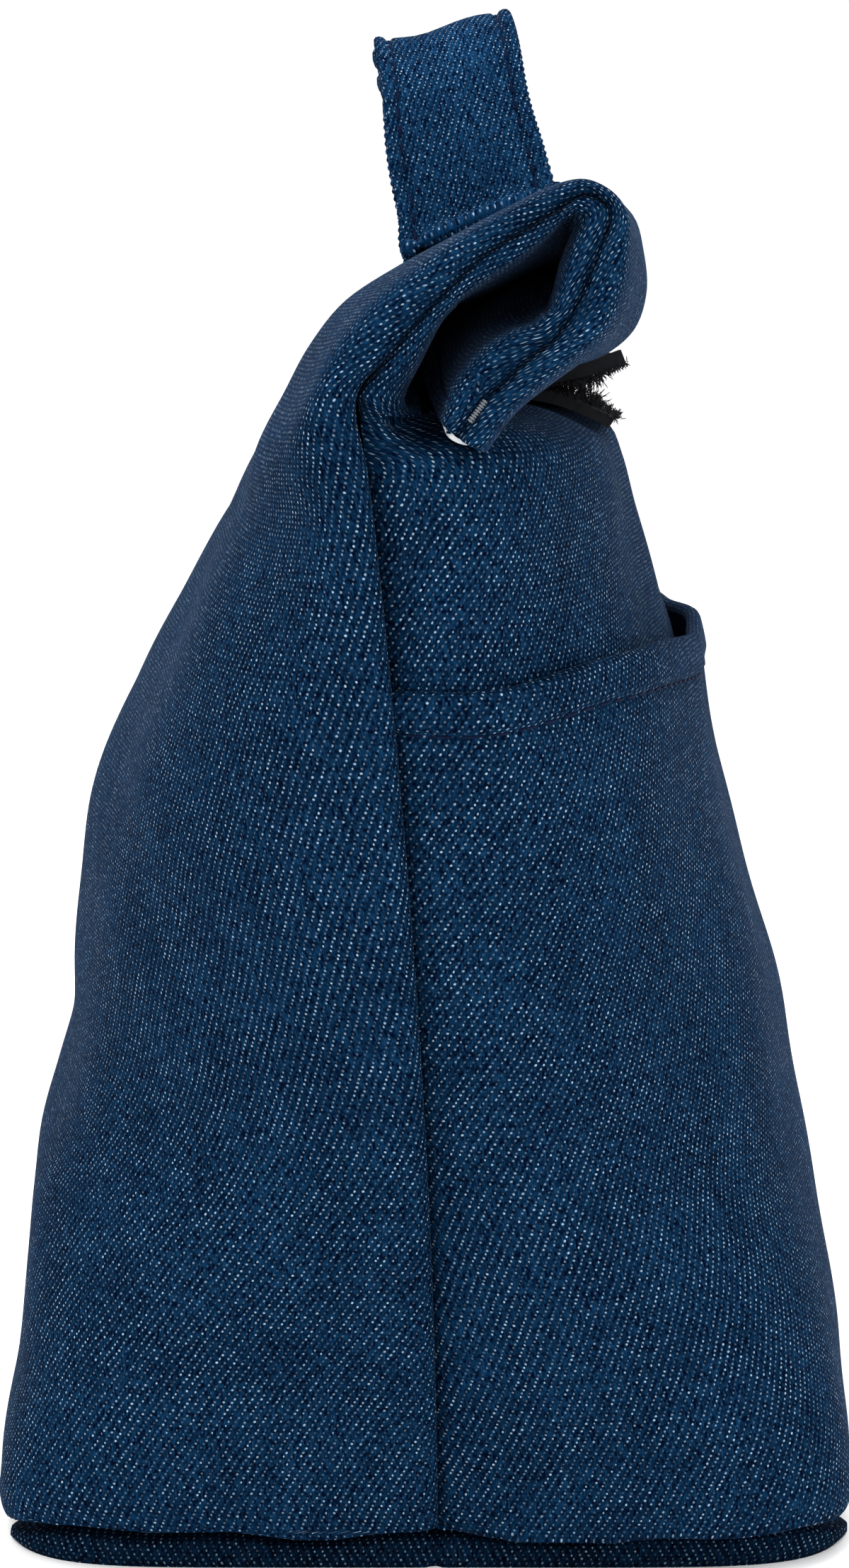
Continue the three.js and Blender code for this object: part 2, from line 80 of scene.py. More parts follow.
# Roll from the crease to the mouth: back face, seam and front face at its ends, then both faces in its middle
ROLL = [
    ((19.0, 192.6), (9.4, 192.6), (1.2, 192.2), (22.4, 191.5), (7.6, 190.4)),
    ((14.6, 200.3), (4.6, 198.2), (-0.9, 197.6), (18.2, 199.6), (5.6, 194.8)),
    ((9.9, 205.8), (0.6, 202.8), (-2.6, 201.6), (13.2, 206.3), (4.0, 198.8)),
    ((2.9, 211.4), (-3.4, 206.9), (-4.8, 204.4), (4.2, 212.2), (-0.6, 203.8)),
    ((-4.5, 215.8), (-8.2, 211.5), (-9.6, 207.6), (-5.5, 216.9), (-9.2, 207.5)),
    ((-11.5, 219.4), (-13.6, 214.9), (-14.0, 210.4), (-14.0, 220.4), (-16.0, 211.0)),
    ((-17.7, 222.2), (-18.9, 218.0), (-17.2, 213.6), (-21.0, 222.4), (-20.6, 213.0)),
    ((-22.4, 222.6), (-22.0, 219.7), (-19.0, 216.0), (-27.4, 222.4), (-22.6, 213.2)),
    ((-26.6, 220.4), (-24.5, 218.4), (-19.7, 216.3), (-32.2, 219.4), (-23.6, 212.6)),
    ((-29.2, 216.4), (-25.2, 216.0), (-19.4, 215.0), (-33.9, 213.6), (-24.2, 211.4)),
    ((-29.9, 211.4), (-23.3, 211.4), (-17.9, 211.9), (-34.4, 207.6), (-24.4, 210.4)),
    ((-29.4, 206.0), (-21.3, 206.0), (-16.7, 206.6), (-32.6, 202.2), (-23.6, 210.6)),
    ((-27.4, 201.2), (-18.6, 201.3), (-15.2, 204.4), (-28.4, 198.6), (-21.4, 210.7)),
    ((-23.6, 197.6), (-15.2, 198.2), (-10.3, 202.5), (-22.0, 196.4), (-16.4, 210.5)),
    ((-19.2, 194.0), (-11.9, 195.4), (-6.4, 200.2), (-15.4, 194.6), (-11.2, 207.9)),
    ((-14.6, 190.2), (-8.6, 192.2), (-3.0, 196.0), (-9.4, 192.8), (-6.2, 205.2)),
    ((-10.2, 184.2), (-5.0, 187.4), (-1.3, 190.0), (-0.8, 190.6), (1.4, 200.4)),
]

# Base, and how near its middle line the rows under it end
BASE_REACH = 68.5
BASE_HALF_WIDTH = 97.0
BASE_HALF_DEPTH = 72.0
BASE_EDGE = 3.0
BASE_MIDDLE = 0.2
MOUTH_HALF_WIDTH = 165.0
CREASE_Z = 192.6
# Side seams seen from the side, and the flare of the sides towards the mouth
SEAM_FOOT = -1.7
SEAM_SHIFT = 11.1
FRONT_SEAM_RISE = 0.032
FRONT_SEAM_DROP = 9.2
SIDE_FLARE = 1.15
FLARE_TOP = 190.0
# How square the section is: on the floor, at the base, half-way up, at the front shoulder and on the roll
FLOOR_SQUARE = 5.0
BASE_SQUARE = 11.0
LENS_SQUARE = 2.25
SHOULDER_SQUARE = 0.16
ROLL_SQUARE = 5.5
# Where across the bag the profile of its ends takes over from that of its middle
END_FROM_X = 100.0
END_AT_X = 160.0
# Cloth rounded into the side seams: radii in millimetres, and the angle in degrees where it begins
SEAM_GAP = 0.15
STRIP_TOP = 9.0
STRIP_SEAM_RADIUS = 1.4
SEAM_RADIUS = 3.1
SEAM_RADIUS_ON_ROLL = 1.1
SEAM_START = -38.0
SEAM_START_ON_ROLL = 20.0
FRONT_EASE = 1.2
FRONT_EASE_REACH = 6.0
ALLOWANCE = (5.0, 2.4)
# Rows and columns of the panels, and the rows over which the cloth map is evened out
HALF_COLUMNS = 104
EVEN_SPREAD = 0.38
SEAM_SPREAD = 0.62
SECTION_STEPS = 900
CALM_ROWS = 33
UPRIGHT_STRETCH = 1.04
WALL_FROM = 12.0
LOW_SPACING = 0.36
WALL_SPACING = 1.6
ROLL_ROWS = 84
# Lining in millimetres
LINING_NARROWER = 7.0
LINING_SHORTER = 7.0
LINING_COLUMNS = 60
LINING_THICKNESS = 0.6
ROLL_LINING_THICKNESS = 0.5
LINING_PAD = 4.6
PAD_LOST_AT_CREASE = 2.7
LINING_FLOOR = 4.4
MOUTH_LINING = [(-2.9, 188.2), (-3.6, 186.7), (-5.0, 185.9), (-6.6, 185.7)]
MOUTH_LINING_X = 162.2
MOUTH_LINING_WIDTH = 22.0
# Strips at the base of the two ends, in millimetres
STRIP_ROWS = 15
STRIP_COLUMNS = 150
STRIP_HALF_WIDTH = 97.2
STRIP_HALF_DEPTH = 74.3
STRIP_SHIFT = -0.5
STRIP_SQUARE = 7.5
STRIP_TUCK = 1.9
# Pocket, and the folds of the hems, in millimetres
POCKET_THICKNESS = 0.8
POCKET_FOOT = 5.0
POCKET_LIFT = 1.2
POCKET_STAND = 0.7
POCKET_RIDGE = 1.0
POCKET_GROOVE = 0.6
POCKET_FOLD_RADIUS = 1.4
MOUTH_FOLD_RADIUS = 0.85
RIM_MARGIN = 8.0
# Stitches as pitch, length and radius in millimetres
POCKET_STITCH = (4.6, 4.0, 0.26)
STRAP_STITCH = (2.9, 2.4, 0.32)
MOUTH_STITCH = (3.6, 2.9, 0.26)
MOUTH_STITCH_LINE = 4.6
# Bars at the corners of the mouth
TACK_X = 163.6
TACK_STITCHES = 9
TACK_RADIUS = 0.21
# Bends of cloth between two bodies, with the ends of each bend in metres
CREASE_BEND = ("bag", "neck", (0, 0.0134, 0.184), (0, 0.0054, 0.201))
FLAP_BEND = ("neck", "flap", (0, -0.02, 0.222), (0, -0.032, 0.203))
LIP_BEND = ("bag", "pocket_front", (0, -0.04, 0.075), (0, -0.07, 0.14))


def smooth(value, low, high):
    """0 below low, 1 above high and an easy slope between them."""
    share = np.clip((np.asarray(value, float) - low) / (high - low), 0.0, 1.0)
    return share * share * (3.0 - 2.0 * share)


def swell(value, middle, width):
    """Round swelling of height 1 about a middle."""
    return np.exp(-(((value - middle) / width) ** 2))


def lengths_along(points):
    """Length reached at each point of a line."""
    return np.concatenate([[0.0], np.cumsum(np.linalg.norm(np.diff(points, axis=0), axis=1))])


def resample(at, reached, values):
    """Rows of values at places along them, where reached says how far along each row lies."""
    flat = values.reshape(len(values), -1)
    parts = [np.interp(at, reached, flat[:, part]) for part in range(flat.shape[1])]
    return np.stack(parts, 1).reshape((len(at),) + values.shape[1:])


def through(stations, distances):
    """Points at distances along a smooth line through stations, measured along their first two columns."""
    stations = np.asarray(stations, float)
    reached = lengths_along(stations[:, :2])
    slope = np.gradient(stations, reached, axis=0)
    span = np.clip(np.searchsorted(reached, distances, side="right") - 1, 0, len(reached) - 2)
    width = (reached[span + 1] - reached[span])[:, None]
    t = (np.asarray(distances, float)[:, None] - reached[span][:, None]) / width
    ease = t * t * (3.0 - 2.0 * t)
    start = stations[span] + (stations[span + 1] - stations[span]) * ease
    leave = slope[span] * width * t * (1.0 - t) ** 2
    arrive = slope[span + 1] * width * t * t * (1.0 - t)
    return start + leave - arrive


def length_of(stations):
    """Length of the line through stations, along their first two columns."""
    stations = np.asarray(stations, float)
    return float(np.linalg.norm(np.diff(stations[:, :2], axis=0), axis=1).sum())


def seam_y(z):
    """How far back the side seam lies at a height."""
    return SEAM_FOOT + SEAM_SHIFT * (np.asarray(z, float) / CREASE_Z) ** 1.9


class Panel:
    """One cloth panel of the bag, made of rows across it, from the middle of the base up to the mouth."""

    def __init__(self, back):
        self.back = back
        self.sign = 1.0 if back else -1.0
        self.wall = BACK_WALL if back else FRONT_WALL
        stations = []
        for y, z in self.wall:
            seam_z = z
            if not back:
                drop = FRONT_SEAM_DROP * float(smooth(z, 140.0, 186.0))
                seam_z = z + (z - BASE_EDGE) * FRONT_SEAM_RISE - drop
            stations.append((y, z, y, z, float(seam_y(seam_z)), seam_z))
        if not back:
            for (y, z), (end_y, end_z), seam_z in zip(ROOF, ROOF_END, ROOF_SEAM_Z):
                stations.append((y, z, end_y, end_z, float(seam_y(seam_z)), seam_z))
        self.crease = length_of(stations)
        for back_end, seam, front_end, back_mid, front_mid in ROLL:
            mid, end = (back_mid, back_end) if back else (front_mid, front_end)
            stations.append((*mid, *end, *seam))
        self.crease += math.dist(stations[-len(ROLL) - 1][:2], stations[-len(ROLL)][:2])
        self.stations = stations
        self.length = length_of(stations)

    def rows(self, distances):
        """Row values at distances along the middle line: below 0 lies the rounded edge, and then the base."""
        distances = np.asarray(distances, float)
        arc = BASE_EDGE * math.pi / 2
        line = through(self.stations, np.clip(distances, 0.0, self.length))
        angle = np.clip(1.0 + distances / arc, 0.0, 1.0) * math.pi / 2
        flat = np.clip(-distances - arc, 0.0, None)
        under = (distances < 0.0)[:, None]
        reach = np.maximum(BASE_REACH - flat, BASE_MIDDLE)
        edge_y = self.sign * (reach + BASE_EDGE * np.sin(angle))
        edge_z = BASE_EDGE * (1.0 - np.cos(angle))
        shortfall = BASE_REACH + BASE_EDGE - abs(self.stations[0][0])
        edge_y = edge_y - self.sign * shortfall * np.clip(reach / BASE_REACH, 0.0, 1.0)
        mid = np.where(under, np.stack([edge_y, edge_z], 1), line[:, 0:2])
        end = np.where(under, mid, line[:, 2:4])
        seam = np.where(under, np.stack([0.0 * edge_z + SEAM_FOOT, edge_z], 1), line[:, 4:6])
        toward = mid - seam
        toward /= np.maximum(np.linalg.norm(toward, axis=1), 1e-6)[:, None]
        seam = seam + toward * SEAM_GAP
        climb = np.clip(seam[:, 1] / FLARE_TOP, 0.0, 1.0) ** SIDE_FLARE
        flare = MOUTH_HALF_WIDTH - BASE_HALF_WIDTH - BASE_EDGE
        half = BASE_HALF_WIDTH + BASE_EDGE * np.sin(angle) + flare * climb
        half = np.where(distances > self.crease - 4.0, MOUTH_HALF_WIDTH, np.minimum(half, MOUTH_HALF_WIDTH))
        rolled = smooth(distances, self.crease - 22.0, self.crease + 10.0)
        flat_top = rolled
        if not self.back:
            shoulder = SHOULDER_SQUARE * smooth(distances, self.crease - 85.0, self.crease - 45.0)
            flat_top = np.maximum(rolled, shoulder)
        lens = LENS_SQUARE + (BASE_SQUARE - LENS_SQUARE) * (1.0 - smooth(mid[:, 1], -30.0, 92.0)) ** 1.6
        lens = FLOOR_SQUARE + (lens - FLOOR_SQUARE) * smooth(mid[:, 1], 1.2, 6.5)
        square = lens + (ROLL_SQUARE - lens) * flat_top
        return {"mid": mid, "end": end, "seam": seam, "half": half, "square": square, "rolled": rolled}

    def section(self, rows, narrower):
        """Half of each row, from its side seam to the middle, and the length that has run along it."""
        theta = np.linspace(0.0, math.pi / 2, SECTION_STEPS)[None]
        power = rows["square"][:, None]
        reach = (np.cos(theta) ** power + np.sin(theta) ** power) ** (-1.0 / power)
        x = (rows["half"] - narrower)[:, None] * (np.cos(theta) * reach)
        near_end = smooth(x, END_FROM_X, END_AT_X)[..., None]
        face = rows["mid"][:, None] + (rows["end"] - rows["mid"])[:, None] * near_end
        seam = rows["seam"][:, None]
        place = seam + (face - seam) * (np.sin(theta) * reach)[..., None]
        line = np.concatenate([-x[..., None], place], 2)
        run = np.linalg.norm(np.diff(line, axis=1), axis=2)
        return line, np.concatenate([np.zeros((len(run), 1)), np.cumsum(run, 1)], 1)

    def rounded(self, rows, apart, reach):
        """Places across, and depths, of the cloth that is rounded into the side seams."""
        rolled = rows["rolled"][:, None]
        radius = SEAM_RADIUS + SEAM_RADIUS_ON_ROLL * rolled
        radius = np.where(rows["mid"][:, 1:] < STRIP_TOP, STRIP_SEAM_RADIUS, radius)
        start = np.radians(SEAM_START + SEAM_START_ON_ROLL * rolled)
        turn = np.clip(start + apart / radius, None, math.pi / 2)
        past = np.clip(apart - radius * (math.pi / 2 - start), 0.0, None)
        lateral = radius * (np.cos(start) - np.cos(turn)) + past
        depth = radius * (1.0 - np.sin(turn))
        if not self.back:
            deepest = radius * (1.0 - np.sin(start))
            easy = FRONT_EASE * deepest * np.exp(-((apart / FRONT_EASE_REACH) ** 1.1))
            lateral = apart + (lateral - apart) * rolled
            depth = easy + (depth - easy) * rolled
        return lateral * reach / lateral[:, -1:], depth

    def chart(self, grid, apart, reach, distances):
        """Cloth map of a grid: how far from the middle, and how far along the cloth."""
        calm = np.hanning(CALM_ROWS)[1:-1] / ((CALM_ROWS - 1) / 2)
        even = np.convolve(np.pad(reach[:, 0], (CALM_ROWS - 3) // 2, mode="edge"), calm, mode="valid")
        from_mid = (reach - apart) * (even[:, None] / reach)
        ahead = np.where(np.arange(grid.shape[1])[None] <= grid.shape[1] // 2, self.sign, -self.sign)
        climb = np.linalg.norm(np.diff(grid, axis=0), axis=2)
        climb = np.concatenate([np.zeros((1, grid.shape[1])), np.cumsum(climb, 0)], 0)
        length = climb + distances[0]
        if distances[0] < self.crease - 60.0:
            far = distances[:, None]
            upright = np.where(far > 0.0, grid[..., 2] * UPRIGHT_STRETCH, far)
            length = upright + (far - upright) * smooth(apart, 25.0, 95.0)
            wall_top = length_of(self.stations[: len(self.wall)])
            top = min(int(np.searchsorted(distances, wall_top)), len(length) - 1)
            length[top:] = length[top] + climb[top:] - climb[top]
        return np.stack([from_mid * ahead, length], 2)

    def surface(self, distances, narrower=0.0, plain=False, columns=HALF_COLUMNS):
        """Grid of points over the panel with its normals, cloth map and distances from the seams."""
        rows = self.rows(distances)
        line, run = self.section(rows, narrower)
        reach = run[:, -1:]
        share = np.linspace(0.0, 1.0, columns + 1)
        apart = reach * (EVEN_SPREAD * share + SEAM_SPREAD * share**2)[None]
        lateral, depth = (apart, 0.0 * apart) if plain else self.rounded(rows, apart, reach)
        grid = np.stack([resample(*row) for row in zip(lateral, run, line)])
        tangent = line[:, 1] - line[:, 0]
        tangent /= np.linalg.norm(tangent, axis=1)[:, None]
        grid += np.minimum(lateral, 0.0)[..., None] * tangent[:, None]
        grid = np.concatenate([grid, grid[:, -2::-1] * np.array([-1.0, 1.0, 1.0])], 1)
        depth = np.concatenate([depth, depth[:, -2::-1]], 1)
        apart = np.concatenate([apart, apart[:, -2::-1]], 1)
        normal = outward(grid, self.sign)
        cloth = self.chart(grid, apart, reach, distances)
        sideways = np.zeros_like(grid)
        sideways[..., 0] = np.sign(grid[..., 0])
        ease = smooth(apart, 2.0, 11.0)[..., None]
        aim = normal * ease + sideways * (1.0 - ease)
        aim /= np.linalg.norm(aim, axis=2)[..., None]
        grid = grid - aim * depth[..., None]
        return {"grid": grid, "normal": normal, "cloth": cloth, "apart": apart, **rows}


def outward(grid, sign):
    """Unit normals of a grid of points whose columns run from -X to +X."""
    across = np.gradient(grid, axis=1)
    up = np.gradient(grid, axis=0)
    normal = np.cross(across, up) * -sign
    return normal / np.maximum(np.linalg.norm(normal, axis=2), 1e-9)[..., None]


BACK = Panel(True)
FRONT = Panel(False)
SIDES = ((BACK, "back"), (FRONT, "front"))


def new_object(name, mesh, material):
    """Object at the origin that holds a finished mesh."""
    piece = bpy.data.objects.new(name, mesh)
    bpy.context.scene.collection.objects.link(piece)
    mesh.materials.clear()
    mesh.materials.append(material)
    return piece


def sheet(name, grid, cloth, thickness, material, outside):
    """Sheet of cloth laid over a grid of points in millimetres, thickened inwards."""
    rows, columns = grid.shape[:2]
    mesh = bpy.data.meshes.new(name)
    cut = bmesh.new()
    bmesh.ops.create_grid(cut, x_segments=columns - 1, y_segments=rows - 1, size=0.5)
    cut.verts.ensure_lookup_table()
    spot = np.array([vertex.co for vertex in cut.verts])
    column = np.rint((spot[:, 0] + 0.5) * (columns - 1)).astype(int)
    row = np.rint((spot[:, 1] + 0.5) * (rows - 1)).astype(int)
    for vertex, place in zip(cut.verts, grid[row, column] * MM):
        vertex.co = place
    facing = outside[row, column]
    cut.normal_update()
    agree = sum(float(np.dot(v.normal, f)) for v, f in zip(cut.verts, facing))
    if agree < 0.0:
        bmesh.ops.reverse_faces(cut, faces=cut.faces)
    cut.to_mesh(mesh)
    cut.free()
    layer = mesh.uv_layers.new(name="cloth")
    corner = np.zeros(len(mesh.loops), int)
    mesh.loops.foreach_get("vertex_index", corner)
    layer.data.foreach_set("uv", cloth[row, column][corner].astype(np.float32).ravel())
    piece = new_object(name, mesh, material)
    if thickness:
        solid = piece.modifiers.new("thickness", "SOLIDIFY")
        solid.thickness = thickness * MM
        solid.offset = -1.0
        bake(piece)
    for vertex in piece.data.vertices:
        vertex.co.z = max(vertex.co.z, 0.0)
    finish_mesh(piece.data)
    return piece


def bake(piece):
    """Puts the result of a piece's modifiers into its mesh."""
    graph = bpy.context.evaluated_depsgraph_get()
    made = bpy.data.meshes.new_from_object(piece.evaluated_get(graph))
    piece.modifiers.clear()
    piece.data = made


def finish_mesh(mesh):
    """Soft shading with crisp cut edges."""
    mesh.polygons.foreach_set("use_smooth", [True] * len(mesh.polygons))
    mesh.set_sharp_from_angle(angle=math.radians(55.0))


def hold(piece, a, b, start, end, weights):
    """Bakes a piece's transform into its mesh and doesn't bend it; the bodies, ends and weights are not used.
    """
    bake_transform(piece)


def declare(grid):
    """Works out the width, length and area of a piece's own grid in millimetres, and does nothing more with
    them.
    """
    width = np.linalg.norm(np.diff(grid, axis=1), axis=2).sum(1).max() * MM
    length = np.linalg.norm(np.diff(grid, axis=0), axis=2).sum(0).max() * MM
    first = grid[1:, 1:] - grid[:-1, :-1]
    second = grid[1:, :-1] - grid[:-1, 1:]
    area = np.linalg.norm(np.cross(first, second), axis=2).sum() / 2 * MM * MM
    flat = (round(max(width, 0.01), 4), round(max(length, 0.01), 4))
    area = min(max(area, 0.301 * flat[0] * flat[1]), flat[0] * flat[1])


def lay(name, data, thickness, material, weights, bend):
    """Sheet over a panel's data, with one weight for each row checked against its vertices; it isn't bent
    between the two bodies.
    """
    piece = sheet(name, data["grid"], data["cloth"], thickness, material, data["normal"])
    hold(piece, *bend, row_weights(piece, weights, data["grid"].shape[1]))
    return piece


def points_of(piece):
    """Vertices of a piece in millimetres."""
    co = np.zeros(len(piece.data.vertices) * 3, np.float32)
    piece.data.vertices.foreach_get("co", co)
    return co.reshape(-1, 3).astype(float) / MM


def node(tree, kind, **settings):
    """Adds a node and sets its properties."""
    made = tree.nodes.new(kind)
    for name, value in settings.items():
        setattr(made, name, value)
    return made


def set_inputs(made, values):
    """Sets inputs of a node by their names."""
    for name, value in values.items():
        made.inputs[name].default_value = value


def math_node(tree, operation, first, second=None, third=None, clamp=False):
    """Adds a Math node fed by sockets or numbers, and gives its output."""
    made = node(tree, "ShaderNodeMath", operation=operation, use_clamp=clamp)
    for socket, value in zip(made.inputs, (first, second, third)):
        if value is None:
            continue
        if isinstance(value, (int, float)):
            socket.default_value = value
        else:
            tree.links.new(value, socket)
    return made.outputs[0]


def mix_colour(tree, factor, first, second, blend="MIX"):
    """Adds a colour Mix node fed by sockets or colours, and gives its output."""
    made = node(tree, "ShaderNodeMix", data_type="RGBA", blend_type=blend)
    for socket, value in zip((made.inputs[0], made.inputs[6], made.inputs[7]), (factor, first, second)):
        if isinstance(value, (int, float)):
            socket.default_value = value
        elif isinstance(value, (tuple, list)):
            socket.default_value = (*value[:3], 1.0)
        else:
            tree.links.new(value, socket)
    return made.outputs[2]


def ramp(tree, value, low, high, from_value=0.0, to_value=1.0):
    """Smooth step of a value between two limits."""
    made = node(tree, "ShaderNodeMapRange", interpolation_type="SMOOTHSTEP")
    tree.links.new(value, made.inputs[0])
    for socket, number in zip(made.inputs[1:5], (low, high, from_value, to_value)):
        socket.default_value = number
    return made.outputs[0]


def noise(tree, vector, scale, detail=2.0, roughness=0.5):
    """Noise value on a vector, with its own scale."""
    made = node(tree, "ShaderNodeTexNoise", noise_dimensions="3D")
    set_inputs(made, {"Scale": scale, "Detail": detail, "Roughness": roughness})
    tree.links.new(vector, made.inputs["Vector"])
    return made.outputs["Fac"]


def scaled(tree, vector, x, y):
    """A vector with its first two parts scaled."""
    made = node(tree, "ShaderNodeVectorMath", operation="MULTIPLY")
    tree.links.new(vector, made.inputs[0])
    made.inputs[1].default_value = (x, y, 0.0)
    return made.outputs[0]


# Warp ends in one repeat of the twill, and the pitches of the strap's finer ends and picks in millimetres
TWILL_REPEAT = 4.0
STRAP_END_PITCH = 0.29
STRAP_PICK_PITCH = 0.52


def twill_group():
    """Shared weave: warp-faced twill whose weft shows as slanting rows of pale dots."""
    group = bpy.data.node_groups.new("twill_weave", "ShaderNodeTree")

    def op(operation, *values, clamp=False):
        return math_node(group, operation, *values, clamp=clamp)

    face = group.interface
    face.new_socket("Cloth", in_out="INPUT", socket_type="NodeSocketVector")
    face.new_socket("End Pitch", in_out="INPUT", socket_type="NodeSocketFloat")
    face.new_socket("Pick Pitch", in_out="INPUT", socket_type="NodeSocketFloat")
    for name in ("Weft", "Warp Tone", "Mottle", "Height"):
        face.new_socket(name, in_out="OUTPUT", socket_type="NodeSocketFloat")
    enter = node(group, "NodeGroupInput")
    leave = node(group, "NodeGroupOutput")
    cloth = enter.outputs["Cloth"]
    # Warp ends and weft picks are counted on a cloth map that wanders a little
    wander = noise(group, scaled(group, cloth, 0.35, 0.35), 1.0, 2.0)
    split = node(group, "ShaderNodeSeparateXYZ")
    group.links.new(cloth, split.inputs[0])
    shift = op("MULTIPLY_ADD", wander, 0.5, -0.25)
    along = op("ADD", split.outputs[1], shift)
    x = op("DIVIDE", op("ADD", split.outputs[0], shift), enter.outputs["End Pitch"])
    y = op("DIVIDE", along, enter.outputs["Pick Pitch"])
    pick = op("FLOOR", y)
    slanted = op("DIVIDE", op("SUBTRACT", x, pick), TWILL_REPEAT)
    in_repeat = op("MULTIPLY", op("FRACT", slanted), TWILL_REPEAT)
    # Each repeat shows one dot of weft, with its own place, size and brightness
    seed = node(group, "ShaderNodeCombineXYZ")
    group.links.new(op("FLOOR", slanted), seed.inputs[0])
    group.links.new(pick, seed.inputs[1])
    chance = node(group, "ShaderNodeTexWhiteNoise", noise_dimensions="2D")
    group.links.new(seed.outputs[0], chance.inputs["Vector"])
    drift = node(group, "ShaderNodeSeparateColor")
    group.links.new(chance.outputs["Color"], drift.inputs[0])
    middle_x = op("MULTIPLY_ADD", drift.outputs[0], 0.7, 1.65)
    middle_y = op("MULTIPLY_ADD", drift.outputs[1], 0.22, 0.39)
    size = op("MULTIPLY_ADD", drift.outputs[2], 0.30, 0.46)
    from_x = op("DIVIDE", op("SUBTRACT", in_repeat, middle_x), size)
    from_y = op("DIVIDE", op("SUBTRACT", op("FRACT", y), middle_y), 0.34)
    apart = op("ADD", op("MULTIPLY", from_x, from_x), op("MULTIPLY", from_y, from_y))
    dot = ramp(group, apart, 1.0, 0.12)
    bright = op("MULTIPLY_ADD", op("POWER", chance.outputs["Value"], 2.2), 0.80, 0.13)
    patches = noise(group, scaled(group, cloth, 0.16, 0.11), 1.0, 3.0)
    bright = op("MULTIPLY", bright, ramp(group, patches, 0.25, 0.75, 0.55, 1.35))
    group.links.new(op("MULTIPLY", dot, bright, clamp=True), leave.inputs["Weft"])
    # Warp threads are round across and slubbed along
    round_end = op("SINE", op("MULTIPLY", op("FRACT", x), math.pi))
    thread = node(group, "ShaderNodeCombineXYZ")
    group.links.new(op("MULTIPLY", op("FLOOR", x), 1.7), thread.inputs[0])
    group.links.new(op("MULTIPLY", along, 0.8), thread.inputs[1])
    tone = op("MULTIPLY_ADD", noise(group, thread.outputs[0], 1.0, 2.0, 0.6), 3.4, -1.25)
    tone = op("MULTIPLY", tone, op("MULTIPLY_ADD", round_end, 0.55, 0.5), clamp=True)
    group.links.new(tone, leave.inputs["Warp Tone"])
    broad = noise(group, scaled(group, cloth, 0.09, 0.06), 1.0, 4.0, 0.6)
    group.links.new(ramp(group, broad, 0.3, 0.7), leave.inputs["Mottle"])
    height = op("ADD", op("MULTIPLY", dot, 0.6), op("MULTIPLY", round_end, 0.4))
    group.links.new(height, leave.inputs["Height"])
    return group


def new_material(name, inputs):
    """Node tree and shader of a new material, with inputs of the shader set."""
    material = bpy.data.materials.new(name)
    material.use_nodes = True
    shader = material.node_tree.nodes["Principled BSDF"]
    set_inputs(shader, inputs)
    return material.node_tree, shader


def raise_surface(tree, shader, height, strength, distance):
    """Bumps a shader's surface by a height, over a distance in metres."""
    bump = node(tree, "ShaderNodeBump")
    set_inputs(bump, {"Strength": strength, "Distance": distance})
    tree.links.new(height, bump.inputs["Height"])
    tree.links.new(bump.outputs["Normal"], shader.inputs["Normal"])


def denim_material(name, weave, settings, end_pitch, pick_pitch, lift):
    """Indigo denim on a piece's own cloth map."""
    tree, shader = new_material(name, {
        "Roughness": 0.92, "Specular IOR Level": 0.01, "Sheen Weight": 0.05, "Sheen Roughness": 0.18,
        "Sheen Tint": (0.32, 0.52, 1.0, 1.0)})
    cloth = node(tree, "ShaderNodeUVMap", uv_map="cloth")
    twill = node(tree, "ShaderNodeGroup", node_tree=weave)
    tree.links.new(cloth.outputs["UV"], twill.inputs["Cloth"])
    set_inputs(twill, {"End Pitch": end_pitch, "Pick Pitch": pick_pitch})
    # A lift below 1 darkens warp and weft alike; on the base strip it is painted shade of the lip's shadow
    deep = tuple(c * lift for c in settings.indigo_deep)
    worn = tuple(c * lift for c in settings.indigo_worn)
    warp = mix_colour(tree, twill.outputs["Warp Tone"], deep, worn)
    shade = mix_colour(tree, twill.outputs["Mottle"], (0.80, 0.82, 0.84), (1.22, 1.20, 1.18))
    warp = mix_colour(tree, 1.0, warp, shade, "MULTIPLY")
    pale = tuple(c * min(lift + 0.15, 1.0) for c in settings.weft_pale)
    colour = mix_colour(tree, twill.outputs["Weft"], warp, pale)
    tree.links.new(colour, shader.inputs["Base Color"])
    raise_surface(tree, shader, twill.outputs["Height"], 0.35, 0.00012)


def plain_cloth(name, colour, roughness, grain, sheen):
    """Close cloth, tape or thread with a fine grain, on Object coordinates."""
    tree, shader = new_material(name, {"Sheen Weight": sheen, "Specular IOR Level": 0.05})
    spot = node(tree, "ShaderNodeTexCoord")
    fine = noise(tree, spot.outputs["Object"], grain, 4.0, 0.6)
    dark = tuple(c * 0.72 for c in colour)
    light = tuple(min(c * 1.22, 1.0) for c in colour)
    tree.links.new(mix_colour(tree, fine, dark, light), shader.inputs["Base Color"])
    tree.links.new(ramp(tree, fine, 0.2, 0.8, roughness - 0.08, roughness + 0.08), shader.inputs["Roughness"])
    raise_surface(tree, shader, fine, 0.4, 0.0002)


def material_of(name):
    """A material that main has made."""
    found = bpy.data.materials.get(name)
    if found is None:
        raise RuntimeError(f"material {name} isn't made yet")
    return found


